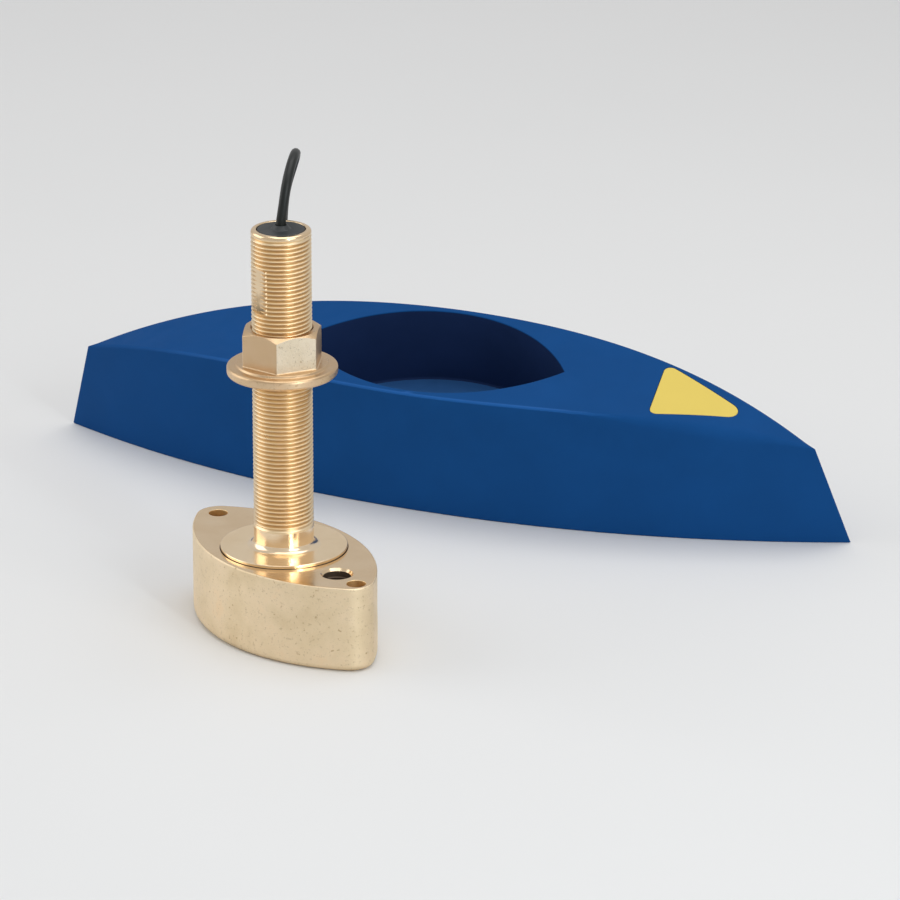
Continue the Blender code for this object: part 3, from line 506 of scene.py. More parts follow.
def shade(colour, red, green=None, blue=None):
    """A colour with its channels scaled, all alike where one factor is given."""
    factors = (red, red if green is None else green, red if blue is None else blue)
    return tuple(min(1.0, c * k) for c, k in zip(colour, factors))


def mottle(tree, shader, blotch, colour, low, high):
    """Lets the base colour wander with a noise between two (position, shade) stops."""
    tone = ramp(tree, blotch, [(position, shade(colour, factor)) for position, factor in (low, high)])
    tree.links.new(tone, shader.inputs["Base Color"])


def cast_bronze(name, colour, roughness=0.5, coarse=1.0):
    """Sand-cast bronze: a sandy grain, small pits and faint warm and pale blotches. A coarse factor above
    one deepens the grain."""
    material, tree, shader = new_material(name, colour, roughness, 1.0)
    where = object_coordinates(tree)
    blotch = noise(tree, where, 18 * MM, 4.0)
    tone = ramp(tree, blotch, [
        (0.30, shade(colour, 0.92, 0.90, 0.86)),
        (0.48, colour),
        (0.62, shade(colour, 1.05, 1.05, 1.08)),
        (0.75, shade(colour, 1.08, 1.03, 1.00)),
    ])
    speckle = noise(tree, where, 1.5 * MM, 4.0, 0.7)
    dark = 1.0 - 0.20 * coarse
    specks = ramp(tree, speckle, [(0.33, (dark, dark * 0.95, dark * 0.88)), (0.43, 1.0)])
    pit_noise = noise(tree, where, 2.0 * MM, 2.0, 0.5)
    pits = ramp(tree, pit_noise, [(0.26, (0.74, 0.67, 0.59)), (0.33, 1.0)])
    mixed = multiply(tree, multiply(tree, tone, specks), pits)
    tree.links.new(mixed, shader.inputs["Base Color"])
    tree.links.new(spread(tree, speckle, roughness - 0.08, roughness + 0.12), shader.inputs["Roughness"])
    grain = noise(tree, where, 0.9 * MM, 3.0, 0.6)
    bump(tree, shader, [
        (pits, 0.30 * MM, 0.28), (speckle, 0.22 * MM * coarse, 0.32), (grain, 0.12 * MM * coarse, 0.5),
    ])
    return material


def polished_tone(tree, where, colour):
    """A machined bronze's colour, wandering a little between warmer and paler."""
    blotch = noise(tree, where, 22 * MM, 3.0)
    return ramp(tree, blotch, [
        (0.30, shade(colour, 0.96, 0.94, 0.91)), (0.52, colour), (0.72, shade(colour, 1.03, 1.05, 1.09))
    ])


def machined_bronze(name, colour, roughness, grain=0.0, turned=0.0):
    """Turned or ground bronze: a slightly uneven polish, with a fine ground grain or fine turned grooves
    round the stem's axis where they are given."""
    material, tree, shader = new_material(name, colour, roughness, 1.0)
    where = object_coordinates(tree)
    tree.links.new(polished_tone(tree, where, colour), shader.inputs["Base Color"])
    smear = noise(tree, where, 7 * MM, 4.0)
    tree.links.new(spread(tree, smear, roughness * 0.8, roughness * 1.3), shader.inputs["Roughness"])
    if grain:
        bump(tree, shader, [(noise(tree, where, 1.2 * MM, 3.0, 0.6), 0.1 * MM, grain)])
    if turned:
        grooves = noise(tree, object_coordinates(tree, (0.02, 0.02, 1.0)), 0.5 * MM, 2.0, 0.6)
        bump(tree, shader, [(grooves, 0.1 * MM, turned)])
    return material


def threaded_bronze(s, colour):
    """Cut thread: crests in the full colour, and roots darkened by a painted shade. The distance from the
    stem's axis sets the tone."""
    material, tree, shader = new_material("threaded_bronze", colour, 0.26, 1.0)
    across = object_coordinates(tree, (1.0, 1.0, 0.0))
    length = tree.nodes.new("ShaderNodeVectorMath")
    length.operation = "LENGTH"
    tree.links.new(across, length.inputs[0])
    crest = s.stem_diameter / 2
    height = map_range(tree, length.outputs["Value"], crest - s.thread_depth, crest)
    # Painted shade: the ramp darkens the roots and leaves the crests at full colour
    root_shade_tone = ramp(tree, height, [
        (0.0, (0.74, 0.64, 0.53)), (0.30, (0.82, 0.74, 0.65)), (0.62, (0.96, 0.94, 0.91)), (0.9, 1.0)
    ])
    where = object_coordinates(tree)
    mixed = multiply(tree, polished_tone(tree, where, colour), root_shade_tone)
    tree.links.new(mixed, shader.inputs["Base Color"])
    smear = noise(tree, where, 9 * MM, 3.0)
    tree.links.new(spread(tree, smear, 0.27, 0.35), shader.inputs["Roughness"])
    return material


def wrench_flat_bronze(s, colour):
    """The wrench flats: smooth bronze that is darker in patches and towards their lower ends."""
    material, tree, shader = new_material("wrench_flat_bronze", colour, 0.3, 1.0)
    where = object_coordinates(tree)
    separate = tree.nodes.new("ShaderNodeSeparateXYZ")
    tree.links.new(where, separate.inputs["Vector"])
    top = stem_levels(s)[2] - s.flat_setback
    low = map_range(tree, separate.outputs["Z"], top - s.flat_length, top - 0.35 * s.flat_length)
    patchy = tree.nodes.new("ShaderNodeMath")
    patchy.operation = "ADD"
    tree.links.new(low, patchy.inputs[0])
    tree.links.new(spread(tree, noise(tree, where, 6 * MM, 4.0), -0.35, 0.35), patchy.inputs[1])
    # Darker in patches and towards the flats' lower ends
    low_darkening = ramp(tree, patchy.outputs["Value"], [
        (0.0, (0.30, 0.27, 0.22)), (0.35, (0.66, 0.60, 0.52)), (0.75, (0.95, 0.94, 0.92))
    ])
    tree.links.new(multiply(tree, polished_tone(tree, where, colour), low_darkening), shader.inputs["Base Color"])
    return material


def moulded(name, colour, roughness, grain_size=0.5 * MM, grain=0.15, variation=0.06, gloss=0.5):
    """Moulded plastic or rubber: fine grain, and a colour and roughness that wander a little."""
    material, tree, shader = new_material(name, colour, roughness)
    shader.inputs["Specular IOR Level"].default_value = gloss
    where = object_coordinates(tree)
    blotch = noise(tree, where, 35 * MM, 3.0)
    mottle(tree, shader, blotch, colour, (0.3, 1.0 - variation), (0.7, 1.0 + variation))
    polish = noise(tree, where, 9 * MM, 4.0)
    tree.links.new(spread(tree, polish, roughness * 0.9, roughness * 1.12), shader.inputs["Roughness"])
    texture = noise(tree, where, grain_size, 2.0)
    bump(tree, shader, [(texture, 0.05 * MM, grain)])
    return material


def with_painted_edge_highlight(material):
    """Lightens the base colour as a painted highlight, and adds some gloss, by a point attribute that is
    high along the near top edge.
    """
    tree = material.node_tree
    shader = tree.nodes["Principled BSDF"]
    share = tree.nodes.new("ShaderNodeAttribute")
    share.attribute_name = "painted_highlight_share"
    # Painted highlight: the base colour grows lighter with the attribute's share
    highlight_tone = ramp(tree, share.outputs["Fac"], [(0.0, 0.45), (1.0, 0.66)])
    base = shader.inputs["Base Color"].links[0].from_socket
    tree.links.new(multiply(tree, base, highlight_tone), shader.inputs["Base Color"])
    gloss = map_range(tree, share.outputs["Fac"], 0.0, 1.0, 0.03, 0.12)
    tree.links.new(gloss, shader.inputs["Specular IOR Level"])
    return material


def woven(name, colour):
    """Hook-and-loop strap: a dull, dark fuzz with paler tips."""
    material, tree, shader = new_material(name, colour, 0.9)
    fuzz = noise(tree, object_coordinates(tree), 0.35 * MM, 4.0, 0.7)
    mottle(tree, shader, fuzz, colour, (0.35, 0.5), (0.7, 2.2))
    bump(tree, shader, [(fuzz, 0.3 * MM, 0.8)])
    return material


def plain(name, colour, roughness, metallic=0.0):
    """A simple finish for pieces that are sealed inside, with a faint grain."""
    material, tree, shader = new_material(name, colour, roughness, metallic)
    grain = noise(tree, object_coordinates(tree), 1.5 * MM, 4.0)
    mottle(tree, shader, grain, colour, (0.3, 0.85), (0.7, 1.15))
    bump(tree, shader, [(grain, 0.05 * MM, 0.3)])
    return material


# Housing


def stem_levels(s):
    """Heights of the pad's top, the thread's lower end and the stem's rim."""
    pad_top = s.height + s.pad_height
    return pad_top, pad_top + s.neck_length, pad_top + s.stem_length


def waviness(points, turn, size):
    """Gentle unevenness of a sand casting: three crossed sine waves over the surface, in -1..1."""
    x, y, z = points[..., 0], points[..., 1], points[..., 2]
    along = x * math.cos(turn) + y * math.sin(turn)
    return (
        np.sin(along / size + 1.3 * np.sin(z / size))
        + np.sin(1.7 * along / size - 2.1 * z / size + 0.8)
        + np.sin(0.6 * y / size + 2.9 * z / size + 2.0)
    ) / 3.0


def housing_body(s):
    """The boat-shaped body: its outline drawn in by an inset at each height, round at foot and top. The
    waviness of the casting fades out within a margin of both faces."""
    margin = 2 * MM
    profile = [(s.foot_round - r, z) for r, z in arc(0.0, s.foot_round, s.foot_round, 270, 360, 8)]
    heights = np.linspace(s.foot_round, s.height - s.top_round, 22)[1:-1]
    profile += [(0.0, z) for z in heights]
    upper = arc(0.0, s.height - s.top_round, s.top_round, 0, 90, 5)
    profile += [(s.top_round - r, z) for r, z in upper]
    rings = []
    for inset, z in profile:
        outline = boat_outline(s.length - 2 * inset, s.width - 2 * inset, s.tip_radius - inset)
        ring = at_height(outline, z)
        share = (z - margin) / (s.height - 2 * margin)
        fade = math.sin(math.pi * min(1.0, max(0.0, share)))
        ring[:, :2] *= 1.0 + CASTING_WAVE * fade * waviness(ring, 0.0, 9 * MM)[:, None]
        rings.append(ring)
    return turned_about(capped(np.stack(rings)), s.turn)


def bored(s, columns=96):
    """The stem's bore and the pocket under it, as one turned solid."""
    rim = stem_levels(s)[2]
    profile = [
        (0.0, -MM), (s.pocket / 2, -MM), (s.pocket / 2, s.pocket_depth), (s.bore / 2, s.pocket_depth),
        (s.bore / 2, rim), (0.0, rim),
    ]
    return revolve(profile, columns)


def drilled(s, profile, offset):
    """A turned tool set on the housing's long axis, at its offset from the stem towards the bow."""
    return turned_about(revolve(profile, 64), s.turn, offset * math.cos(s.turn), offset * math.sin(s.turn))


def screw_cutter(s, offset):
    """A round hole right through the housing, with a small rounded mouth at its top face."""
    r, top, mouth = s.screw_hole / 2, s.height, s.screw_mouth
    profile = [(0.0, -MM), (r, -MM)]
    profile += [(r + mouth - dr, z) for dr, z in arc(0.0, top - mouth, mouth, 0, 90, 4)]
    profile += [(r + mouth, top + OVERSHOOT), (0.0, top + OVERSHOOT)]
    return drilled(s, profile, offset)


def bolt_cutter(s, offset):
    """The blind bolt hole: a drilled point, a threaded wall of fine grooves and a countersunk mouth."""
    r, top = s.bolt_hole / 2, s.height
    floor = top - s.bolt_depth
    depth, step = 0.5 * MM, 0.5 * MM
    stations = np.arange(floor + 4 * MM, top - 3.5 * MM, step)
    wall = [(r - (depth if i % 4 in (2, 3) else 0.0), z) for i, z in enumerate(stations)]
    profile = [(0.0, floor - r / 2), (r - depth, floor)] + wall
    mouth = r + s.bolt_mouth
    profile += [(r, top - s.bolt_mouth), (mouth, top), (mouth, top + OVERSHOOT), (0.0, top + OVERSHOOT)]
    return drilled(s, profile, offset)


def housing_casting(s):
    """The casting up to the neck: a relief groove is cut round the pad's foot, the pad and neck are
    joined on, and the whole is bored and drilled."""
    body = mesh_of("housing_casting", [housing_body(s)])
    radius, stem = s.pad_diameter / 2, s.stem_diameter / 2
    pad_top, neck_top, _ = stem_levels(s)
    profile = [(0.0, s.height - 5 * MM), (radius - 0.5 * MM, s.height - 5 * MM)]
    profile += [(radius - 0.5 * MM, s.height - 0.25 * MM), (radius - 0.1 * MM, s.height + 0.1 * MM)]
    profile += arc(radius - 0.45 * MM, pad_top - 0.45 * MM, 0.45 * MM, 0, 90, 4)
    profile += arc(stem + s.neck_fillet, pad_top + s.neck_fillet, s.neck_fillet, 270, 180, 10)
    profile += [(stem, neck_top), (0.0, neck_top)]
    pad = mesh_of("pad", [revolve(profile, 192)])
    relief = [(radius - 0.6 * MM, s.height - 0.35 * MM), (radius + 0.25 * MM, s.height - 0.35 * MM)]
    relief += [(radius + 0.55 * MM, s.height + 0.5 * MM), (radius - 0.6 * MM, s.height + 0.5 * MM)]
    relief += relief[:1]
    groove = mesh_of("groove", [revolve(relief, 192)])
    body = cut(body, [groove])
    body = cut(body, [pad], "UNION")
    bow, stern = s.length / 2 - s.bow_setback, -s.length / 2 + s.stern_setback
    tools = [
        mesh_of("bores", [bored(s)]),
        mesh_of("bow_hole", [screw_cutter(s, bow)]),
        mesh_of("stern_hole", [screw_cutter(s, stern)]),
        mesh_of("bolt_hole", [bolt_cutter(s, s.length / 2 - s.bolt_setback)]),
    ]
    return cut(body, tools)


def thread_surface(s, columns=96):
    """A helical surface: rows run round the stem and climb one pitch a turn, so that they follow the
    crests and roots. The radius falls from the crest to the root along straight flanks, and the depth
    fades to nothing over the run-outs at both ends."""
    _, low, rim = stem_levels(s)
    high = rim - s.rim_plain
    # One turn of the thread's section, as (share of the pitch, share of the depth)
    shape = np.array([
        (-0.12, 0.10), (-0.06, 0.02), (0.0, 0.0), (0.06, 0.02), (0.12, 0.10),
        (0.42, 0.96), (0.5, 1.0), (0.58, 0.96),
    ])
    turns = int((high - low) / s.thread_pitch) + 3
    place = (np.arange(turns)[:, None] + shape[None, :, 0]).reshape(-1, 1)
    depth = np.tile(shape[:, 1], turns).reshape(-1, 1)
    turn = np.linspace(0.0, 2.0 * np.pi, columns + 1)[None, :]
    z = low + s.thread_pitch * (place - 1.5 + turn / (2.0 * np.pi))
    fade = np.clip((z - low) / (1.3 * s.thread_pitch), 0.0, 1.0)
    fade = fade * np.clip((high - z) / (0.9 * s.thread_pitch), 0.0, 1.0)
    radius = s.stem_diameter / 2 - s.thread_depth * depth * fade
    z = np.clip(z, low, high)
    turn = np.broadcast_to(turn, z.shape)
    points = np.stack([radius * np.cos(turn), radius * np.sin(turn), z], axis=-1)
    return points, grid_faces(points.shape[0], points.shape[1], False)


def stem_thread(s, columns=96):
    """The threaded stem: the helical surface, the rim, the mouth for the plug, the bore and the foot,
    with two wrench flats cut across it."""
    _, low, rim = stem_levels(s)
    stem, mouth, bore = s.stem_diameter / 2, s.plug_bore / 2, s.bore / 2
    profile = [(stem, rim - s.rim_plain)]
    profile += arc(stem - 1.5 * MM, rim - 1.5 * MM, 1.5 * MM, 0, 90, 8)
    profile += arc(mouth + 0.4 * MM, rim - 0.4 * MM, 0.4 * MM, 90, 180, 4)
    profile += [(mouth, rim - s.plug_depth), (bore, rim - s.plug_depth), (bore, low), (stem, low)]
    mesh = mesh_of("stem_thread", [thread_surface(s, columns), revolve(profile, columns)], weld=4e-6)
    high = rim - s.flat_setback
    flats = []
    for side in (-1, 1):
        near, far = sorted((side * s.flats_across / 2, side * s.stem_diameter))
        x = s.stem_diameter
        corners = [(-x, near), (x, near), (x, far), (-x, far)]
        rings = np.stack([at_height(corners, z) for z in (high - s.flat_length, high)])
        flats.append(turned_about(capped(rings), s.turn))
    return cut(mesh, [mesh_of(f"flat_{i}", [flat]) for i, flat in enumerate(flats)])


def face_array(mesh, name):
    """One vector per face: its centre or its normal."""
    values = np.empty(len(mesh.polygons) * 3)
    mesh.polygons.foreach_get(name, values)
    return values.reshape(-1, 3)


def set_finishes(mesh, numbers):
    """Gives each face the material of its number."""
    mesh.polygons.foreach_set("material_index", numbers.astype(np.int32))


def along_and_across(points, turn):
    """Distances along and across an axis that is turned from +X."""
    c, n = math.cos(turn), math.sin(turn)
    return points[:, 0] * c + points[:, 1] * n, points[:, 1] * c - points[:, 0] * n


def finish_housing(mesh, s):
    """Gives each face its finish: 0 cast sides and underside, 1 machined top and inside, 2 a painted shade
    in the bolt hole and the pad groove's dark line, 3 the screw holes in a deeper gold as a painted glow, 4
    the pad,
    5 the turned neck."""
    centres, normals = face_array(mesh, "center"), face_array(mesh, "normal")
    height = centres[:, 2]
    along, across = along_and_across(centres, s.turn)
    below_top = height < s.height - 0.1 * MM
    wall = np.abs(normals[:, 2]) < 0.5

    def near(offset, size):
        return (np.hypot(along - offset, across) < size / 2 + 0.2 * MM) & below_top

    radius = np.hypot(centres[:, 0], centres[:, 1])
    top = height > s.height - 0.05 * MM
    inside = (radius < s.pocket / 2 + 0.1 * MM) & (wall | (height > MM)) & (height < s.height - MM)
    slots = np.where(top | inside, 1, 0)
    slots[top & (radius < s.pad_diameter / 2)] = 4
    slots[height > s.height + s.pad_height + 0.02 * MM] = 5
    groove = (np.abs(radius - s.pad_diameter / 2) < 0.6 * MM) & (height < s.height - 0.02 * MM)
    slots[groove & (height > s.height - 0.5 * MM)] = 2
    # Screw holes: finish 3, a deeper gold as a painted glow of reflected light
    slots[near(s.length / 2 - s.bow_setback, s.screw_hole)] = 3
    slots[near(-s.length / 2 + s.stern_setback, s.screw_hole)] = 3
    mouth = (np.abs(height - s.height + s.bolt_mouth / 2) < s.bolt_mouth / 2) & ~wall
    hole = near(s.length / 2 - s.bolt_setback, s.bolt_hole + 2 * s.bolt_mouth)
    # Painted shade: the bolt hole's wall takes the dark finish 2, and its mouth keeps the machined finish
    slots[hole] = 2
    slots[hole & mouth] = 1
    set_finishes(mesh, slots)


def finish_stem(mesh, s):
    """Gives each face of the stem its finish: 0 thread, 1 rim and bore, 2 wrench flats."""
    centres, normals = face_array(mesh, "center"), face_array(mesh, "normal")
    rim = stem_levels(s)[2]
    flat_way = np.abs(along_and_across(normals, s.turn)[1])
    flat_place = np.abs(along_and_across(centres, s.turn)[1])
    flats = (flat_way > 0.999) & (np.abs(flat_place - s.flats_across / 2) < 0.02 * MM)
    slots = np.where(centres[:, 2] > rim - s.rim_plain - 0.05 * MM, 1, 0)
    slots[np.hypot(centres[:, 0], centres[:, 1]) < s.plug_bore / 2 + 0.3 * MM] = 1
    slots[flats] = 2
    set_finishes(mesh, slots)


# Hull nut


def hull_nut(s, columns=360):
    """The hull nut: round flange and collar below, hexagon above, as one radius over angle and station.

    The hexagon's radius is its apothem over the cosine of the angle from the nearest flat, with slightly
    soft corners, and a cone through the crown limits it from above. The higher the sharpness, the less
    soft the corners.
    """
    sharpness = 90
    turn = np.linspace(0.0, 2.0 * np.pi, columns, endpoint=False)
    apothem = s.across_flats / 2
    sides = np.cos(turn[:, None] - s.turn - np.pi / 6 - np.arange(6) * np.pi / 3)
    hexagon = apothem / (np.clip(sides, 0.0, None) ** sharpness).sum(axis=1) ** (1.0 / sharpness)
    flange, collar = s.flange / 2, s.collar / 2
    shoulder = s.seat + s.flange_thickness
    step = shoulder + s.collar_height
    top = s.seat + s.height
    crown, corner = s.crown / 2, apothem / math.cos(math.pi / 6)
    bore = s.bore / 2
    edge, fillet = 1.5 * MM, 0.8 * MM
    # Each row is a radius, which is one number where the row is round, and a height
    rows = [(bore, s.seat + MM), (bore + 0.9 * MM, s.seat)]
    rows += arc(flange - edge, s.seat + edge, edge, 270, 360, 6)
    rows += arc(flange - edge, shoulder - edge, edge, 0, 90, 6)
    rows += arc(collar + 0.9 * MM, shoulder + 0.6 * MM, 0.6 * MM, 270, 200, 3)
    rows += arc(collar - 0.5 * MM, step - 0.5 * MM, 0.5 * MM, 20, 90, 4)
    for a in np.radians(np.linspace(0, 90, 6)):
        grow, rise = fillet * (1 - math.sin(a)), fillet * (1 - math.cos(a))
        rows.append((np.minimum(hexagon + grow, collar - 0.6 * MM), step + rise))
    slope = (corner - crown) / s.chamfer
    wall = np.linspace(step + fillet, top - s.chamfer - 0.4 * MM, 10)[1:]
    for z in np.concatenate([wall, np.linspace(top - s.chamfer, top, 16)]):
        cone = crown + (top - z) * slope
        rows.append((np.minimum(hexagon, cone), z))
    rows += [(bore + 0.55 * MM, top), (bore, top - 0.5 * MM), (bore, s.seat + MM)]
    radius = np.stack([np.broadcast_to(r, columns) for r, _ in rows])
    z = np.repeat([[h] for _, h in rows], columns, axis=1)
    points = np.stack([radius * np.cos(turn), radius * np.sin(turn), z], axis=-1)
    outer = np.clip((radius - bore - 2 * MM) / (3 * MM), 0.0, 1.0)
    points[..., :2] *= 1.0 + (NUT_WAVE * outer * waviness(points, 0.7, 5 * MM))[..., None]
    return points, grid_faces(len(rows), columns, True)


def finish_nut(mesh, s):
    """Leaves every second side of the hexagon rough from the mould (finish 1) and the flange's edge with a
    few of its pits (finish 2). The rest is ground smooth (finish 0)."""
    centres, normals = face_array(mesh, "center"), face_array(mesh, "normal")
    sector = (np.arctan2(centres[:, 1], centres[:, 0]) - s.turn) / (np.pi / 3)
    rough_side = np.floor(sector).astype(int) % 2 == 1
    radius = np.hypot(centres[:, 0], centres[:, 1])
    wall = (np.abs(normals[:, 2]) < 0.3) & (radius > s.bore / 2 + MM)
    slots = np.where(rough_side & wall, 1, 0)
    slots[wall & (radius > s.collar / 2)] = 2
    set_finishes(mesh, slots)


# Fairing block


def block_to_frame(points, s):
    """Block coordinates to the row frame: tilted about X by the deadrise, then moved to its place."""
    c, n = math.cos(s.deadrise), math.sin(s.deadrise)
    x, y, z = points[..., 0], points[..., 1], points[..., 2]
    return np.stack([s.x + x, s.y + y * c - z * n, y * n + z * c], axis=-1)


def crown_height(x, s):
    """Height of the crowned top: the crest less the drop times the cube of the share of the half length."""
    half = s.base_length / 2 - s.end_rake
    return s.crest - s.drop * np.abs((x - s.crest_shift) / half) ** 3.0


def lens_ring(length, width, power, steps):
    """A lens outline as one ring: half widths w (1 - |t|^p), near side first, then the far side back.
    The points crowd towards the tips by a sine, so that the tips stay round."""
    t = np.sin(np.linspace(-np.pi / 2, np.pi / 2, steps + 1))
    half = width / 2 * (1.0 - np.abs(t) ** power)
    x = t * length / 2
    near = np.stack([x, -half], axis=-1)
    far = np.stack([x[1:-1], half[1:-1]], axis=-1)[::-1]
    return np.concatenate([near, far])


def smooth_step(value, low, high):
    """The smooth step 3 t t - 2 t t t of a value's share t between two limits."""
    t = np.clip((value - low) / (high - low), 0.0, 1.0)
    return t * t * (3.0 - 2.0 * t)


def near_edge_round(x, s):
    """Radius of the near top edge: it swells towards the bow and loses half of that swell at the tip."""
    half = s.base_length / 2 - s.end_rake
    swell = smooth_step(x, 0.38 * half, 0.78 * half) * (1.0 - 0.5 * smooth_step(x, 0.93 * half, half))
    return s.edge + s.bow_round * swell


def fairing_blank(s, steps=170):
    """The uncut block: walls ruled from the base outline on the floor to the top outline in the tilted
    block frame, rounded into the crowned top."""
    top_length, top_width = s.base_length - 2 * s.end_rake, s.base_width - 2 * s.side_rake
    e = s.edge

    def base_ring(inset, z):
        ring = lens_ring(s.base_length - 2.4 * inset, s.base_width - 2 * inset, s.base_fullness, steps)
        return at_height(ring + np.array([s.x, s.y]), z)

    def top_ring(a):
        ring = lens_ring(top_length - 2.4 * e * (1 - math.cos(a)), top_width, s.top_fullness, steps)
        x, y = ring[:, 0] + s.top_shift, ring[:, 1]
        round_here = np.where(y < 0.0, near_edge_round(x, s), e)
        round_here = np.minimum(round_here, 0.55 * np.abs(y) + 0.4 * MM)
        y = y - np.sign(y) * np.minimum(round_here * (1 - math.cos(a)), 0.7 * np.abs(y))
        z = crown_height(x, s) - round_here * (1 - math.sin(a))
        return block_to_frame(np.stack([x, y, z], axis=-1), s)

    foot = 0.8 * MM
    rings = [base_ring(foot, 0.0), base_ring(0.3 * foot, 0.3 * foot), base_ring(0.0, foot)]
    low, high = base_ring(0.0, 0.0), top_ring(0.0)
    for f in np.linspace(0.02, 1.0, 9):
        rings.append(low + (high - low) * f)
    for a in np.radians(np.linspace(0, 90, 9))[1:]:
        rings.append(top_ring(a))
    rings = np.stack(rings)
    rows, columns = rings.shape[:2]
    faces = grid_faces(rows, columns, True).tolist()
    for start in (0, (rows - 1) * columns):
        near = start + np.arange(steps + 1)
        far = start + np.concatenate([[0], np.arange(columns - 1, steps, -1), [steps]])
        strips = np.stack([near[:-1], near[1:], far[1:], far[:-1]], axis=-1)
        faces += [list(dict.fromkeys(face)) for face in strips.tolist()]
    return rings, faces


def cavity_cutter(s, h):
    """The cavity's space: a pointed lens on the housing's own side arcs, with a rounded floor edge and a
    small round lip that follows the crowned top."""
    radius, centre = side_circle(h.length, h.width, h.tip_radius)
    floor = s.crest - s.cavity_depth

    def outline(grow):
        half = math.sqrt((radius + s.cavity_clearance + grow) ** 2 - centre**2)
        t = np.linspace(-1.0, 1.0, 121) * half
        side = np.sqrt((radius + s.cavity_clearance + grow) ** 2 - t**2) - centre
        near = np.stack([t, -side], axis=-1)
        return np.concatenate([near, np.stack([t, side], axis=-1)[::-1][1:-1]])

    lip, foot = 0.6 * MM, 1.5 * MM
    quarter = np.radians(np.linspace(0, 90, 5))
    rings = []
    for q in quarter:
        rings.append(at_height(outline(-foot * (1 - math.sin(q))), floor + foot * (1 - math.cos(q))))
    for q in quarter:
        ring = outline(lip * (1 - math.cos(q)))
        z = crown_height(ring[:, 0] + s.cavity_shift, s) - lip + lip * math.sin(q)
        rings.append(at_height(ring, z))
    rings.append(at_height(outline(lip), s.crest + 12 * MM))
    points = np.stack(rings)
    points[..., 0] += s.cavity_shift
    points, faces = capped(points)
    return block_to_frame(points, s), faces


def block_hole(s, x, diameter, low, high):
    """A round hole along the block's own height."""
    points, faces = revolve([(0.0, low), (diameter / 2, low), (diameter / 2, high), (0.0, high)], 64)
    points = points + np.array([x, 0.0, 0.0])
    return block_to_frame(points, s), faces


def mark_outline(s, shrink, corner_steps=8):
    """The mark's outline: a triangle that points to the bow, its back edge skewed and its corners round."""
    half = s.mark_width / 2
    back = np.array([s.top_shift + s.base_length / 2 - s.end_rake - s.mark_setback, s.mark_offset])
    along = np.array([-math.sin(s.mark_skew), math.cos(s.mark_skew)])
    corners = [back - along * half, back + np.array([s.mark_length, 0.0]), back + along * half]
    points = []
    for i, (corner, rounding) in enumerate(zip(corners, (s.mark_corner, s.mark_tip, s.mark_corner))):
        before = corners[i - 1] - corner
        after = corners[(i + 1) % 3] - corner
        before, after = before / np.linalg.norm(before), after / np.linalg.norm(after)
        middle = (before + after) / np.linalg.norm(before + after)
        half_angle = math.acos(float(before @ after)) / 2
        centre = corner + middle * (rounding / math.sin(half_angle))
        sweep = math.pi / 2 - half_angle
        angle = math.atan2(-middle[1], -middle[0]) + np.linspace(-sweep, sweep, corner_steps + 1)
        radius = rounding - shrink
        points.append(centre + radius * np.stack([np.cos(angle), np.sin(angle)], axis=-1))
    return np.concatenate(points)


def mark_plate(s, shrink, low, high, edge, columns=120):
    """A plate on the mark's outline between two levels about the crown. Its rings are drawn towards the
    middle, so that the top follows the crown, and its upper edge is rounded."""
    outer = mark_outline(s, shrink)
    closed = np.vstack([outer, outer[:1]])
    outer = points_at(closed, np.linspace(0.0, run_along(closed)[-1], columns, endpoint=False))
    middle = outer.mean(axis=0)
    size = np.linalg.norm(outer - middle, axis=1).mean()
    # Each ring is a share of the outline, a level and an inset
    rings = [(share, low, 0.0) for share in (0.0, 0.4, 0.8, 1.0)] + [(1.0, high - edge, 0.0)]
    for q in np.radians(np.linspace(0, 90, 4))[1:]:
        rings.append((1.0, high - edge + edge * math.sin(q), edge * (1 - math.cos(q))))
    rings += [(share, high, 0.0) for share in (0.93, 0.8, 0.6, 0.4, 0.2, 0.0)]
    points = []
    for share, level, inset in rings:
        flat = middle + (outer - middle) * max(0.0, share - inset / size)
        points.append(at_height(flat, crown_height(flat[:, 0], s) + level))
    return block_to_frame(np.stack(points), s), grid_faces(len(rings), columns, True)


def finish_block(mesh, s, h):
    """Gives the cavity's walls a darker finish, a painted shade, and its floor a lighter one, a painted
    light.
    Every point gets its share of a painted highlight along the near top edge, which fades where that edge
    rounds off towards the bow."""
    c, n = math.cos(s.deadrise), math.sin(s.deadrise)

    def block_place(points):
        y, z = points[:, 1] - s.y, points[:, 2]
        return points[:, 0] - s.x, y * c + z * n, z * c - y * n

    x, y, z = block_place(face_array(mesh, "center"))
    normal_z = face_array(mesh, "normal") @ np.array([0.0, -n, c])
    radius, centre = side_circle(h.length, h.width, h.tip_radius)
    within = np.hypot(x - s.cavity_shift, np.abs(y) + centre) < radius + s.cavity_clearance + MM
    inside = within & (crown_height(x, s) - z > 0.7 * MM)
    # Painted shade on the cavity's walls (finish 1) and painted light on its floor (finish 2)
    slots = np.where(inside & (np.abs(normal_z) < 0.95), 1, 0)
    slots[inside & (normal_z > 0.95) & (crown_height(x, s) - z > 5 * MM)] = 2
    set_finishes(mesh, slots)
    points = np.empty(len(mesh.vertices) * 3)
    mesh.vertices.foreach_get("co", points)
    x, y, z = block_place(points.reshape(-1, 3))
    half_length = s.base_length / 2 - s.end_rake
    share = np.clip(np.abs(x - s.top_shift) / half_length, 0.0, 1.0)
    edge = -(s.base_width / 2 - s.side_rake) * (1.0 - share**s.top_fullness)
    depth = crown_height(x, s) - z
    near = (y < edge + s.edge) & (depth < 0.8 * s.edge) & (depth > -MM)
    # Painted highlight along the near top edge, faded in from the stern and out towards the bow
    painted_highlight_share = near * smooth_step(x, -0.9 * half_length, -0.3 * half_length)
    painted_highlight_share = painted_highlight_share * (1.0 - smooth_step(x, 0.35 * half_length, 0.6 * half_length))
    attribute = mesh.attributes.new("painted_highlight_share", "FLOAT", "POINT")
    attribute.data.foreach_set("value", painted_highlight_share.astype(np.float32))


# Cable


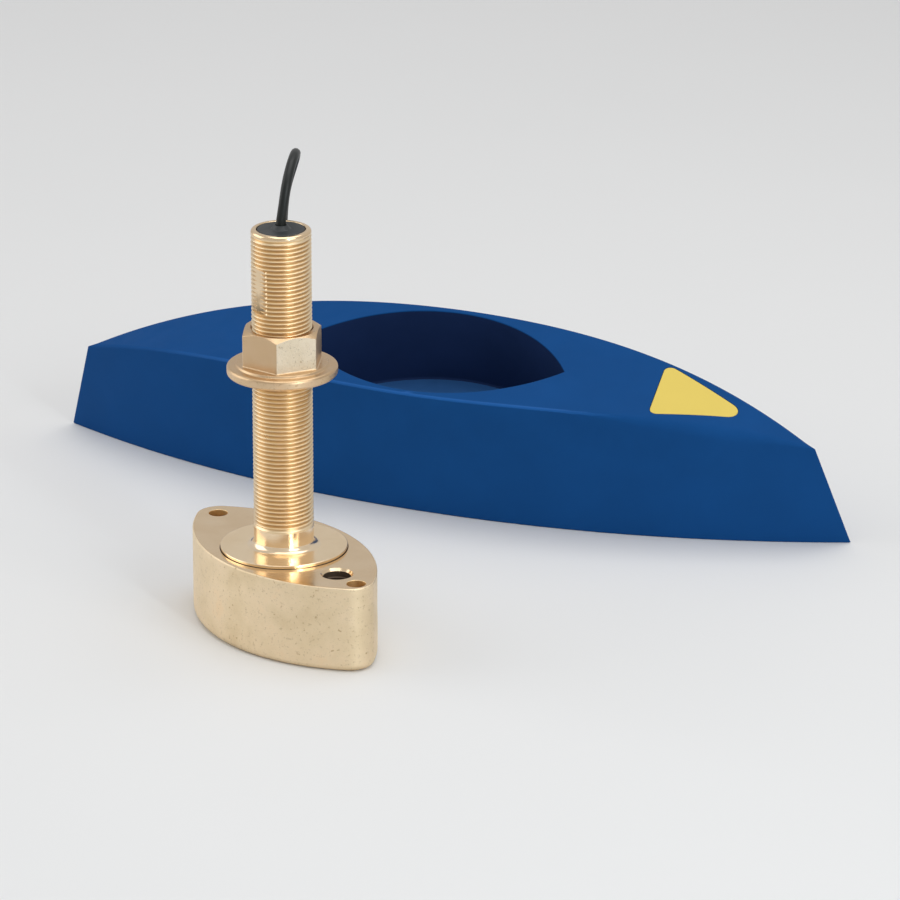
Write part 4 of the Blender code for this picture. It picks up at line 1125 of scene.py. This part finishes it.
def spline_through(points, step):
    """Evenly spaced points on the natural cubic spline through a route's points, by chord length."""
    p = np.asarray(points, float)
    t = run_along(p)
    h = np.diff(t)
    count = len(p)
    inner = np.arange(1, count - 1)
    matrix, right = np.eye(count), np.zeros_like(p)
    matrix[inner, inner - 1] = h[:-1]
    matrix[inner, inner] = 2 * (h[:-1] + h[1:])
    matrix[inner, inner + 1] = h[1:]
    slope = np.diff(p, axis=0) / h[:, None]
    right[1:-1] = 6 * np.diff(slope, axis=0)
    bend = np.linalg.solve(matrix, right)
    s = np.linspace(0.0, t[-1], 20 * count)
    k = np.clip(np.searchsorted(t, s, side="right") - 1, 0, count - 2)
    a = ((t[k + 1] - s) / h[k])[:, None]
    b = ((s - t[k]) / h[k])[:, None]
    w = (h[k] ** 2 / 6)[:, None]
    fine = a * p[k] + b * p[k + 1] + w * ((a**3 - a) * bend[k] + (b**3 - b) * bend[k + 1])
    length = run_along(fine)[-1]
    return points_at(fine, np.linspace(0.0, length, round(length / step) + 1))


def coil_points(s):
    """Points of the coil, clockwise seen from above: the radius runs in and out as a triangle wave, one
    layer each way, and each layer change drops the cable by its diameter over a sixth of a turn."""
    layer = s.turns / COIL_LEVELS
    build = layer * s.diameter
    turn = np.arange(0, round(s.turns * COIL_STEPS_PER_TURN) + 1) / COIL_STEPS_PER_TURN
    turn = turn * (s.turns / turn[-1])
    phase = turn / layer
    wave = np.abs((phase % 2.0) - 1.0)
    radius = s.coil_radius - build / 2 + build * wave
    changes = np.arange(1, COIL_LEVELS)[:, None] * layer
    ease = np.clip((turn[None, :] - changes) * 6.0 + 0.5, 0.0, 1.0)
    drop = (ease * ease * (3.0 - 2.0 * ease)).sum(axis=0)
    height = s.tie_thickness + SEAT_GAP + s.diameter * (COIL_LEVELS - 0.5)
    angle = COIL_START_ANGLE - 2.0 * np.pi * turn
    return np.stack([
        s.coil_x + radius * np.cos(angle), s.coil_y + radius * np.sin(angle), height - drop * s.diameter
    ], axis=-1)


def cable_line(s):
    """The whole cable's centreline: out of the plug, over the fairing block, through the coil to the
    connector. The free ends are evenly stepped, and the coil keeps its own points."""
    coil = coil_points(s)
    lead = spline_through(np.concatenate([np.array(ROUTE_MM) * MM, coil[:4]]), SPLINE_STEP)
    tail = spline_through(np.concatenate([coil[-4:], np.array(TAIL_MM) * MM]), SPLINE_STEP)
    first = lead[np.linalg.norm(lead - coil[0], axis=1).argmin()]
    last = tail[np.linalg.norm(tail - coil[-1], axis=1).argmin()]
    lead = lead[: np.flatnonzero((lead == first).all(axis=1))[0]]
    tail = tail[np.flatnonzero((tail == last).all(axis=1))[0] + 1 :]
    return np.concatenate([lead[:-1], coil, tail])


def tie_strap(s, angle):
    """A strap round the coil's section: a rounded rectangle swept across the strap's width, with the
    free end lying over it on the outer side."""
    build = s.turns / COIL_LEVELS * s.diameter
    outer = s.coil_radius + (build + s.diameter) / 2 + SEAT_GAP
    inner = s.coil_radius - (build + s.diameter) / 2
    inner = math.sqrt(inner**2 - (s.tie_width / 2) ** 2) - 2 * SEAT_GAP
    low, high = s.tie_thickness, s.tie_thickness + 2 * SEAT_GAP + COIL_LEVELS * s.diameter
    t, r = s.tie_thickness, 2.0 * MM

    def loop(grow):
        points = []
        centres = ((outer - r, high - r), (inner + r, high - r), (inner + r, low + r), (outer - r, low + r))
        for quarter, (cr, cz) in enumerate(centres):
            points += arc(cr, cz, r + grow, 90 * quarter, 90 * quarter + 90, 6)
        return np.array(points)

    inside, outside = loop(0.0), loop(t)
    half = s.tie_width / 2
    section = [(inside, -half), (inside, half), (outside, half), (outside, half - 0.3 * MM)]
    section += [(outside, -half + 0.3 * MM), (outside, -half), (inside, -half)]
    rings = np.stack([at_height(ring, y)[:, [0, 2, 1]] for ring, y in section])
    strap = (rings, grid_faces(len(section), rings.shape[1], True))
    steps = 16
    z = np.linspace(high - r, low + 6 * MM, steps)
    lift = outer + t + 0.05 * MM + 0.35 * MM * np.sin(np.linspace(0.0, 2.6, steps)) ** 2
    flap = []
    for x_grow, y in ((0.0, -half), (0.0, half), (t * 0.8, half), (t * 0.8, -half), (0.0, -half)):
        flap.append(np.column_stack([lift + x_grow, np.full(steps, y), z]))
    ends = [[end + side * steps for side in range(4)] for end in (0, steps - 1)]
    free_end = (np.stack(flap), grid_faces(len(flap), steps, False).tolist() + ends)
    return [turned_about(part, angle, s.coil_x, s.coil_y) for part in (strap, free_end)]


# Connector


def lay_connector(part, s):
    """Turns a part built about Z to lie along +X from the boot's small end."""
    points, faces = part
    x, y, z = points[..., 0], points[..., 1], points[..., 2]
    return np.stack([s.x + z, s.y + y, s.z - x], axis=-1), faces


def fluted(profile, ribs, depth, columns):
    """A turned profile with lengthwise grooves: where its third value is 1, the radius dips between ribs
    by a raised cosine of the angle."""
    profile = np.asarray(profile, float)
    turn = np.linspace(0.0, 2.0 * np.pi, columns, endpoint=False)
    valley = np.clip(np.cos(ribs * turn) * 1.6, -1.0, 1.0) * 0.5 - 0.5
    radius = profile[:, :1] + profile[:, 2:3] * depth * valley
    z = np.repeat(profile[:, 1:2], columns, axis=1)
    points = np.stack([radius * np.cos(turn), radius * np.sin(turn), z], axis=-1)
    return points, grid_faces(len(profile), columns, True)


def connector_boot(s, cable):
    """The strain relief: a cone with four ring grooves and a chamfered small end."""
    start, end = cable.diameter / 2 + 0.9 * MM, s.boot_end / 2
    z = np.linspace(0.0, s.boot_length, 113)
    radius = start + (end - start) * z / s.boot_length
    for i in range(1, 5):
        middle = i / 5 * s.boot_length - 0.5 * MM
        radius = radius - 0.55 * MM * np.exp(-(((z - middle) / (0.62 * MM)) ** 4))
    profile = [(0.0, 0.0), (start - 0.5 * MM, 0.0)]
    profile += [(r, h) for r, h in zip(radius, z) if h > 0.4 * MM]
    profile += [(0.0, s.boot_length)]
    return revolve(profile, 72)


def connector_body(s):
    """The body: a rounded shoulder, a fluted grip, the nose under the ring and the socket in it."""
    low = s.boot_length + SEAT_GAP
    high = low + s.body_length
    ring_start = high + s.ring_overhang - s.ring_length
    grip, nose = s.grip_diameter / 2, s.body_diameter / 2
    socket = nose - 1.3 * MM
    shoulder = s.boot_end / 2 + 0.8 * MM
    rows = [(0.0, low, 0)]
    rows += [(r, z, 0) for r, z in arc(shoulder - 0.4 * MM, low + 0.4 * MM, 0.4 * MM, 270, 350, 4)]
    rows += [(grip - 0.5 * MM, low + 2.6 * MM, 0), (grip, low + 3.1 * MM, 0), (grip, low + 4.0 * MM, 0)]
    rows += [(grip, low + 4.6 * MM, 1), (grip, ring_start - 2.2 * MM, 1), (grip, ring_start - 1.6 * MM, 0)]
    rows += [(grip, ring_start - 0.7 * MM, 0), (grip - 0.4 * MM, ring_start - 0.3 * MM, 0)]
    rows += [(nose, ring_start - 0.3 * MM, 0), (nose, high - 0.4 * MM, 0), (nose - 0.4 * MM, high, 0)]
    rows += [(socket + 0.3 * MM, high, 0), (socket, high - 0.3 * MM, 0), (socket, high - s.socket_depth, 0)]
    rows += [(0.0, high - s.socket_depth, 0)]
    return fluted(rows, ribs=18, depth=0.45 * MM, columns=216)


def connector_ring(s):
    """The coupling ring: ribbed outside, with rounded ends and a smooth bore over the nose."""
    low = s.boot_length + SEAT_GAP + s.body_length + s.ring_overhang - s.ring_length
    high = low + s.ring_length
    outer, inner = s.z, s.body_diameter / 2 + SEAT_GAP
    rows = [(inner, low + 0.3 * MM, 0), (inner + 0.3 * MM, low, 0), (outer - 1.2 * MM, low, 0)]
    rows += [(outer - 0.5 * MM, low + 0.4 * MM, 0), (outer - 0.3 * MM, low + 1.2 * MM, 0)]
    rows += [(outer, low + 1.6 * MM, 1), (outer, high - 2.4 * MM, 1)]
    rows += [(outer - 0.3 * MM, high - 2.0 * MM, 0), (outer - 0.3 * MM, high - 0.8 * MM, 0)]
    rows += [(outer - 0.8 * MM, high - 0.2 * MM, 0), (outer - 1.2 * MM, high, 0)]
    rows += [(inner + 0.3 * MM, high, 0), (inner, high - 0.3 * MM, 0), (inner, low + 0.3 * MM, 0)]
    return fluted(rows, s.ribs, depth=0.55 * MM, columns=288)


# Operators


def dress(material, *nodes):
    """Gives CAD nodes that stay as they are a better material."""
    for node in nodes:
        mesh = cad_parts[node].data
        mesh.materials.clear()
        mesh.materials.append(material)


class TRANSDUCER_OT_housing(Operator):
    """Build the bronze casting and its threaded stem."""

    bl_idname = "transducer.housing"
    bl_label = "Housing and stem"

    def execute(self, context):
        s, finishes = context.scene.transducer_housing, context.scene.transducer_finishes
        polished = machined_bronze("polished_bronze", shade(finishes.machined, 0.97, 0.92, 0.86), 0.19)
        mesh = housing_casting(s)
        finish_housing(mesh, s)
        show("housing_casting", mesh, [
            cast_bronze("sand_cast_bronze", finishes.cast), polished,
            # Finish 2: painted shade in the bolt hole, and the pad groove's dark line
            plain("shade_hole_and_dark_groove_bronze", (0.11, 0.075, 0.05), 0.6, 0.6),
            # Screw holes: a rough drilled finish, painted a deeper gold as a painted glow of reflected
            # light
            machined_bronze("drilled_painted_glow_bronze", shade(finishes.machined, 1.0, 0.88, 0.62), 0.5),
            machined_bronze("pad_bronze", shade(finishes.machined, 1.12, 1.10, 1.06), 0.2),
            machined_bronze("turned_bronze", shade(finishes.machined, 1.08, 1.08, 1.1), 0.19, turned=0.06),
        ], ["housing"], CREASE)
        mesh = stem_thread(s)
        finish_stem(mesh, s)
        materials = [threaded_bronze(s, finishes.thread), polished, wrench_flat_bronze(s, finishes.machined)]
        show("stem_thread", mesh, materials, crease=50.0)
        return {"FINISHED"}


class TRANSDUCER_OT_hull_nut(Operator):
    """Build the hull nut."""

    bl_idname = "transducer.hull_nut"
    bl_label = "Hull nut"

    def execute(self, context):
        s, finishes = context.scene.transducer_nut, context.scene.transducer_finishes
        mesh = mesh_of("hull_nut_cast", [hull_nut(s)])
        finish_nut(mesh, s)
        # Smooth ground finish, its colour darkened as a painted shade for the dark floor that its polish
        # mirrors
        ground_painted_dark = shade(finishes.machined, 0.74, 0.66, 0.58)
        ground = machined_bronze("ground_bronze", ground_painted_dark, 0.33, grain=0.25)
        rough = cast_bronze("rough_cast_bronze", shade(finishes.cast, 0.95, 1.02, 1.18), 0.6, coarse=1.7)
        edge = cast_bronze("flange_edge_bronze", shade(finishes.machined, 0.82, 0.76, 0.70), 0.36)
        show("hull_nut_cast", mesh, [ground, rough, edge], ["hull_nut"], 24.0)
        return {"FINISHED"}


class TRANSDUCER_OT_stem_plug(Operator):
    """Build the cable seal in the stem's mouth."""

    bl_idname = "transducer.stem_plug"
    bl_label = "Cable seal"

    def execute(self, context):
        s, cable = context.scene.transducer_housing, context.scene.transducer_cable
        rim = stem_levels(s)[2]
        radius, collar = s.plug_bore / 2 - SEAT_GAP, cable.diameter / 2 + 1.3 * MM
        low = rim - s.plug_depth + SEAT_GAP
        profile = [(0.0, low), (radius, low)]
        profile += arc(radius - 0.6 * MM, rim - 0.6 * MM, 0.6 * MM, 0, 90, 5)
        profile += arc(collar + 1.6 * MM, rim + 1.0 * MM, 1.1 * MM, 270, 215, 5)
        profile += arc(cable.diameter / 2 + 0.55 * MM, rim + 1.75 * MM, 0.25 * MM, 20, 180, 6)
        profile += [(cable.diameter / 2 + SEAT_GAP, rim + 0.2 * MM), (0.0, rim + 0.2 * MM)]
        colour = context.scene.transducer_finishes.rubber
        rubber = moulded("seal_black_rubber", colour, 0.48, 0.7 * MM, grain=0.3, variation=0.15)
        mesh = mesh_of("stem_plug_seal", [revolve(profile, 128)])
        show("stem_plug_seal", mesh, [rubber], ["stem_plug"], CREASE)
        return {"FINISHED"}


class TRANSDUCER_OT_acoustic_parts(Operator):
    """Build the acoustic window and finish the parts sealed behind it."""

    bl_idname = "transducer.acoustic_parts"
    bl_label = "Acoustic parts"

    def execute(self, context):
        s = context.scene.transducer_housing
        radius, top = s.pocket / 2 - SEAT_GAP, s.window_thickness
        profile = [(0.0, 0.0), (radius * 0.5, 0.0), (radius - 0.5 * MM, 0.0)]
        profile += arc(radius - 0.5 * MM, 0.5 * MM, 0.5 * MM, 270, 360, 4)
        profile += [(radius, top), (0.0, top)]
        dark = (0.03, 0.03, 0.032)
        urethane = moulded("window_urethane_black", dark, 0.38, 0.6 * MM, grain=0.15, variation=0.12)
        mesh = mesh_of("acoustic_window_disc", [revolve(profile, 128)])
        show("acoustic_window_disc", mesh, [urethane], ["acoustic_window"], CREASE)
        dress(plain("silvered_ceramic", (0.62, 0.60, 0.55), 0.4), "piezo_disc")
        dress(plain("cork_grain", (0.42, 0.27, 0.14), 0.9), "isolation_ring", "backing_disc")
        dress(plain("potting_dark", (0.05, 0.045, 0.04), 0.5), "encapsulant")
        dress(plain("tinned_wire", (0.70, 0.52, 0.40), 0.35, 1.0), "lead_positive", "lead_negative")
        dress(plain("inner_jacket", (0.02, 0.02, 0.02), 0.5), "inner_cable")
        return {"FINISHED"}


class TRANSDUCER_OT_fairing(Operator):
    """Build the fairing block and its direction mark."""

    bl_idname = "transducer.fairing"
    bl_label = "Fairing block"

    def execute(self, context):
        s, h = context.scene.transducer_fairing, context.scene.transducer_housing
        finishes = context.scene.transducer_finishes
        floor, middle = s.crest - s.cavity_depth, s.cavity_shift
        bow, stern = middle + h.length / 2, middle - h.length / 2
        through, blind = -s.base_width / 2, floor - s.screw_depth
        tools = [
            cavity_cutter(s, h),
            block_hole(s, middle, h.stem_diameter + s.stem_room, through, floor + MM),
            block_hole(s, bow - h.bolt_setback, s.bolt_hole, through, floor + MM),
            block_hole(s, bow - h.bow_setback, s.screw_hole, blind, floor + MM),
            block_hole(s, stern + h.stern_setback, s.screw_hole, blind, floor + MM),
            mark_plate(s, 0.0, -1.1 * MM, 5 * MM, 0.1 * MM),
        ]
        blank = mesh_of("fairing_block", [fairing_blank(s)])
        mesh = cut(blank, [mesh_of(f"cutter_{i}", [tool]) for i, tool in enumerate(tools)])
        finish_block(mesh, s, h)
        satin = moulded(
            "blue_urethane_satin", shade(finishes.blue, 2.2), 0.5, 0.9 * MM, grain=0.1, variation=0.05
        )
        # The satin blue, with a painted highlight along the near top edge
        materials = [with_painted_edge_highlight(satin)]
        # Painted shade darkens the cavity's walls, and painted light makes its floor lighter
        for name, colour in (
            ("painted_shade_wall_urethane", shade(finishes.blue, 2.0, 0.5, 0.46)),
            ("painted_light_floor_urethane", shade(finishes.blue, 4.3, 1.69, 1.34)),
        ):
            materials.append(moulded(name, colour, 0.6, 0.9 * MM, grain=0.2, variation=0.1, gloss=0.03))
        show("fairing_block", mesh, materials, ["fairing"], 28.0)
        yellow = moulded(
            "yellow_mark_satin", finishes.yellow, 0.42, 0.8 * MM, grain=0.1, variation=0.02, gloss=0.15
        )
        mark = mesh_of("direction_mark_inlay", [mark_plate(s, 0.25 * MM, -0.8 * MM, 0.0, 0.3 * MM)])
        show("direction_mark_inlay", mark, [yellow], ["direction_mark"], CREASE)
        return {"FINISHED"}


class TRANSDUCER_OT_cable(Operator):
    """Build the cable with its coil, and the two ties."""

    bl_idname = "transducer.cable"
    bl_label = "Cable and ties"

    def execute(self, context):
        s = context.scene.transducer_cable
        line = cable_line(s)
        data = bpy.data.curves.new("transducer_cable", "CURVE")
        data.dimensions = "3D"
        data.bevel_depth = s.diameter / 2
        data.bevel_resolution = 4
        data.use_fill_caps = True
        spline = data.splines.new("POLY")
        spline.points.add(len(line) - 1)
        spline.points.foreach_set("co", np.column_stack([line, np.ones(len(line))]).ravel())
        colour = context.scene.transducer_finishes.jacket
        jacket = moulded(
            "cable_jacket_satin", colour, 0.40, 0.5 * MM, grain=0.12, variation=0.1, gloss=0.35
        )
        data.materials.append(jacket)
        cable = add_object("transducer_cable", data)
        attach(cable, "root")
        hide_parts("cable", "cable_coil", "cable_tail")
        ties = []
        strap = woven("strap_weave", (0.022, 0.022, 0.024))
        for number, degrees in ((1, 330.0), (2, 150.0)):
            mesh = mesh_of(f"coil_strap_{number}", tie_strap(s, math.radians(degrees)))
            ties.append(show(f"coil_strap_{number}", mesh, [strap], [f"coil_tie_{number}"]))
        on_cable = ties + connector_pieces(context)
        return {"FINISHED"}


def connector_pieces(context):
    """Builds the connector's pieces and returns them, with the CAD nodes that stay."""
    s, cable = context.scene.transducer_connector, context.scene.transducer_cable
    soft, hard = (0.02, 0.021, 0.022), (0.024, 0.025, 0.027)
    rubber = moulded("boot_rubber", soft, 0.5, 0.6 * MM, grain=0.25, variation=0.15)
    plastic = moulded("connector_black", hard, 0.42, 0.35 * MM, grain=0.3, variation=0.1)
    made = []
    for name, part, material, slot, node in (
        ("connector_strain_relief", connector_boot(s, cable), rubber, "black_rubber", "connector_boot"),
        ("connector_grip", connector_body(s), plastic, "connector_plastic", "connector_body"),
        ("connector_coupling", connector_ring(s), plastic, "connector_plastic", "connector_ring"),
    ):
        made.append(show(name, mesh_of(name, [lay_connector(part, s)]), [material], [node], 40.0))
    pins = [f"contact_pin_{number}" for number in range(1, 7)]
    dress(plain("carrier_grey", (0.10, 0.10, 0.10), 0.5), "contact_carrier")
    dress(plain("seal_red", (0.35, 0.05, 0.03), 0.6), "connector_seal")
    dress(plain("pin_gold", (0.80, 0.60, 0.24), 0.25, 1.0), *pins)
    return made + [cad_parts[node] for node in ["contact_carrier", "connector_seal"] + pins]


class TRANSDUCER_OT_stage(Operator):
    """Build the floor, the lights and the camera."""

    bl_idname = "transducer.stage"
    bl_label = "Stage"

    def execute(self, context):
        scene = context.scene
        colour = scene.transducer_finishes.floor
        reach, below = 6.0, -0.05 * MM
        points = np.array([[(x, y, below) for x in (-reach, reach)] for y in (-reach, reach)])
        mesh = mesh_of("studio_floor", [(points, grid_faces(2, 2, False))])
        material, tree, shader = new_material("studio_floor", colour, 0.7)
        grain = noise(tree, object_coordinates(tree), 0.4, 3.0)
        mottle(tree, shader, grain, colour, (0.3, 0.985), (0.7, 1.0))
        mesh.materials.append(material)
        floor = add_object("studio_floor", mesh)
        self.world(scene)
        self.lights()
        self.camera(scene)
        scene.view_settings.view_transform = "Standard"
        return {"FINISHED"}

    def world(self, scene):
        """A pale surround: light grey to the camera, a darker grey in reflections, else a soft light."""
        world = bpy.data.worlds.new("studio")
        world.use_nodes = True
        tree = world.node_tree
        tree.nodes.clear()
        output = tree.nodes.new("ShaderNodeOutputWorld")
        path = tree.nodes.new("ShaderNodeLightPath")

        def background(grey, strength=1.0):
            node = tree.nodes.new("ShaderNodeBackground")
            return set_inputs(node, Color=(grey, grey, grey, 1.0), Strength=strength)

        def choose(ray, other_rays, this_ray):
            node = tree.nodes.new("ShaderNodeMixShader")
            tree.links.new(path.outputs[ray], node.inputs["Fac"])
            tree.links.new(other_rays.outputs[0], node.inputs[1])
            tree.links.new(this_ray.outputs[0], node.inputs[2])
            return node

        unseen = choose("Is Glossy Ray", background(1.0, 0.42), background(0.62))
        mixed = choose("Is Camera Ray", unseen, background(0.86))
        tree.links.new(mixed.outputs[0], output.inputs["Surface"])
        scene.world = world

    def lights(self):
        """Soft boxes: one overhead, a broad one on each side in front, and a narrow strip whose
        reflection draws the bright line down the stem."""
        target, level_with_strip = (0.0, 0.11, 0.08), (0.0, 0.11, 0.7)
        white, cool = (1.0, 1.0, 1.0), (0.80, 0.93, 1.0)
        for name, place, aim, width, height, power, colour in (
            ("overhead_box", (0.2, 0.2, 1.9), target, 1.8, 1.8, 18.0, white),
            ("left_box", (-2.7, -0.6, 1.1), target, 2.6, 2.6, 27.0, white),
            ("right_box", (2.1, -0.9, 1.2), target, 1.2, 1.2, 11.5, white),
            ("stem_strip", (1.33, -0.995, 0.7), level_with_strip, 0.08, 1.36, 6.0, cool),
        ):
            data = bpy.data.lights.new(name, "AREA")
            data.shape = "RECTANGLE"
            data.size, data.size_y = width, height
            data.energy, data.color = power, colour
            lamp = add_object(name, data)
            lamp.location = place
            lamp.rotation_euler = (Vector(aim) - Vector(place)).to_track_quat("-Z", "Y").to_euler()

    def camera(self, scene):
        """The photograph's view: from the front, 20 degrees above the floor, through a long lens."""
        data = bpy.data.cameras.new("photo_camera")
        data.sensor_width = 36.0
        data.lens = CAMERA_LENS
        data.clip_start, data.clip_end = 0.1, 30.0
        camera = add_object("photo_camera", data)
        camera.location = CAMERA_PLACE
        camera.rotation_euler = (math.radians(90.0 - CAMERA_PITCH), 0.0, math.radians(CAMERA_TURN))
        scene.camera = camera


OPERATORS = (
    TRANSDUCER_OT_stage,
    TRANSDUCER_OT_cable,
    TRANSDUCER_OT_housing,
    TRANSDUCER_OT_hull_nut,
    TRANSDUCER_OT_stem_plug,
    TRANSDUCER_OT_acoustic_parts,
    TRANSDUCER_OT_fairing,
)


class TRANSDUCER_PT_sidebar(Panel):
    """Sizes, colours and build steps of the sonar transducer."""

    bl_idname = "TRANSDUCER_PT_sidebar"
    bl_label = "Sonar transducer"
    bl_space_type = "VIEW_3D"
    bl_region_type = "UI"
    bl_category = "Transducer"

    def draw(self, context):
        for group, kind in GROUPS.items():
            box = self.layout.box()
            box.label(text=kind.__doc__.rstrip("."))
            for name in kind.__annotations__:
                box.prop(getattr(context.scene, group), name)
        for operator in OPERATORS:
            self.layout.operator(operator.bl_idname)


def register():
    """Registers the groups, operators and panel."""
    for group, kind in GROUPS.items():
        bpy.utils.register_class(kind)
        setattr(bpy.types.Scene, group, PointerProperty(type=kind))
    for operator in OPERATORS:
        bpy.utils.register_class(operator)
    bpy.utils.register_class(TRANSDUCER_PT_sidebar)


def unregister():
    """Removes what register added."""
    bpy.utils.unregister_class(TRANSDUCER_PT_sidebar)
    for operator in reversed(OPERATORS):
        bpy.utils.unregister_class(operator)
    for group, kind in GROUPS.items():
        delattr(bpy.types.Scene, group)
        bpy.utils.unregister_class(kind)


def main():
    """Builds everything in order."""
    register()
    bpy.ops.transducer.stage()
    bpy.ops.transducer.cable()
    bpy.ops.transducer.housing()
    bpy.ops.transducer.hull_nut()
    bpy.ops.transducer.stem_plug()
    bpy.ops.transducer.acoustic_parts()
    bpy.ops.transducer.fairing()


if __name__ == "__main__":
    main()
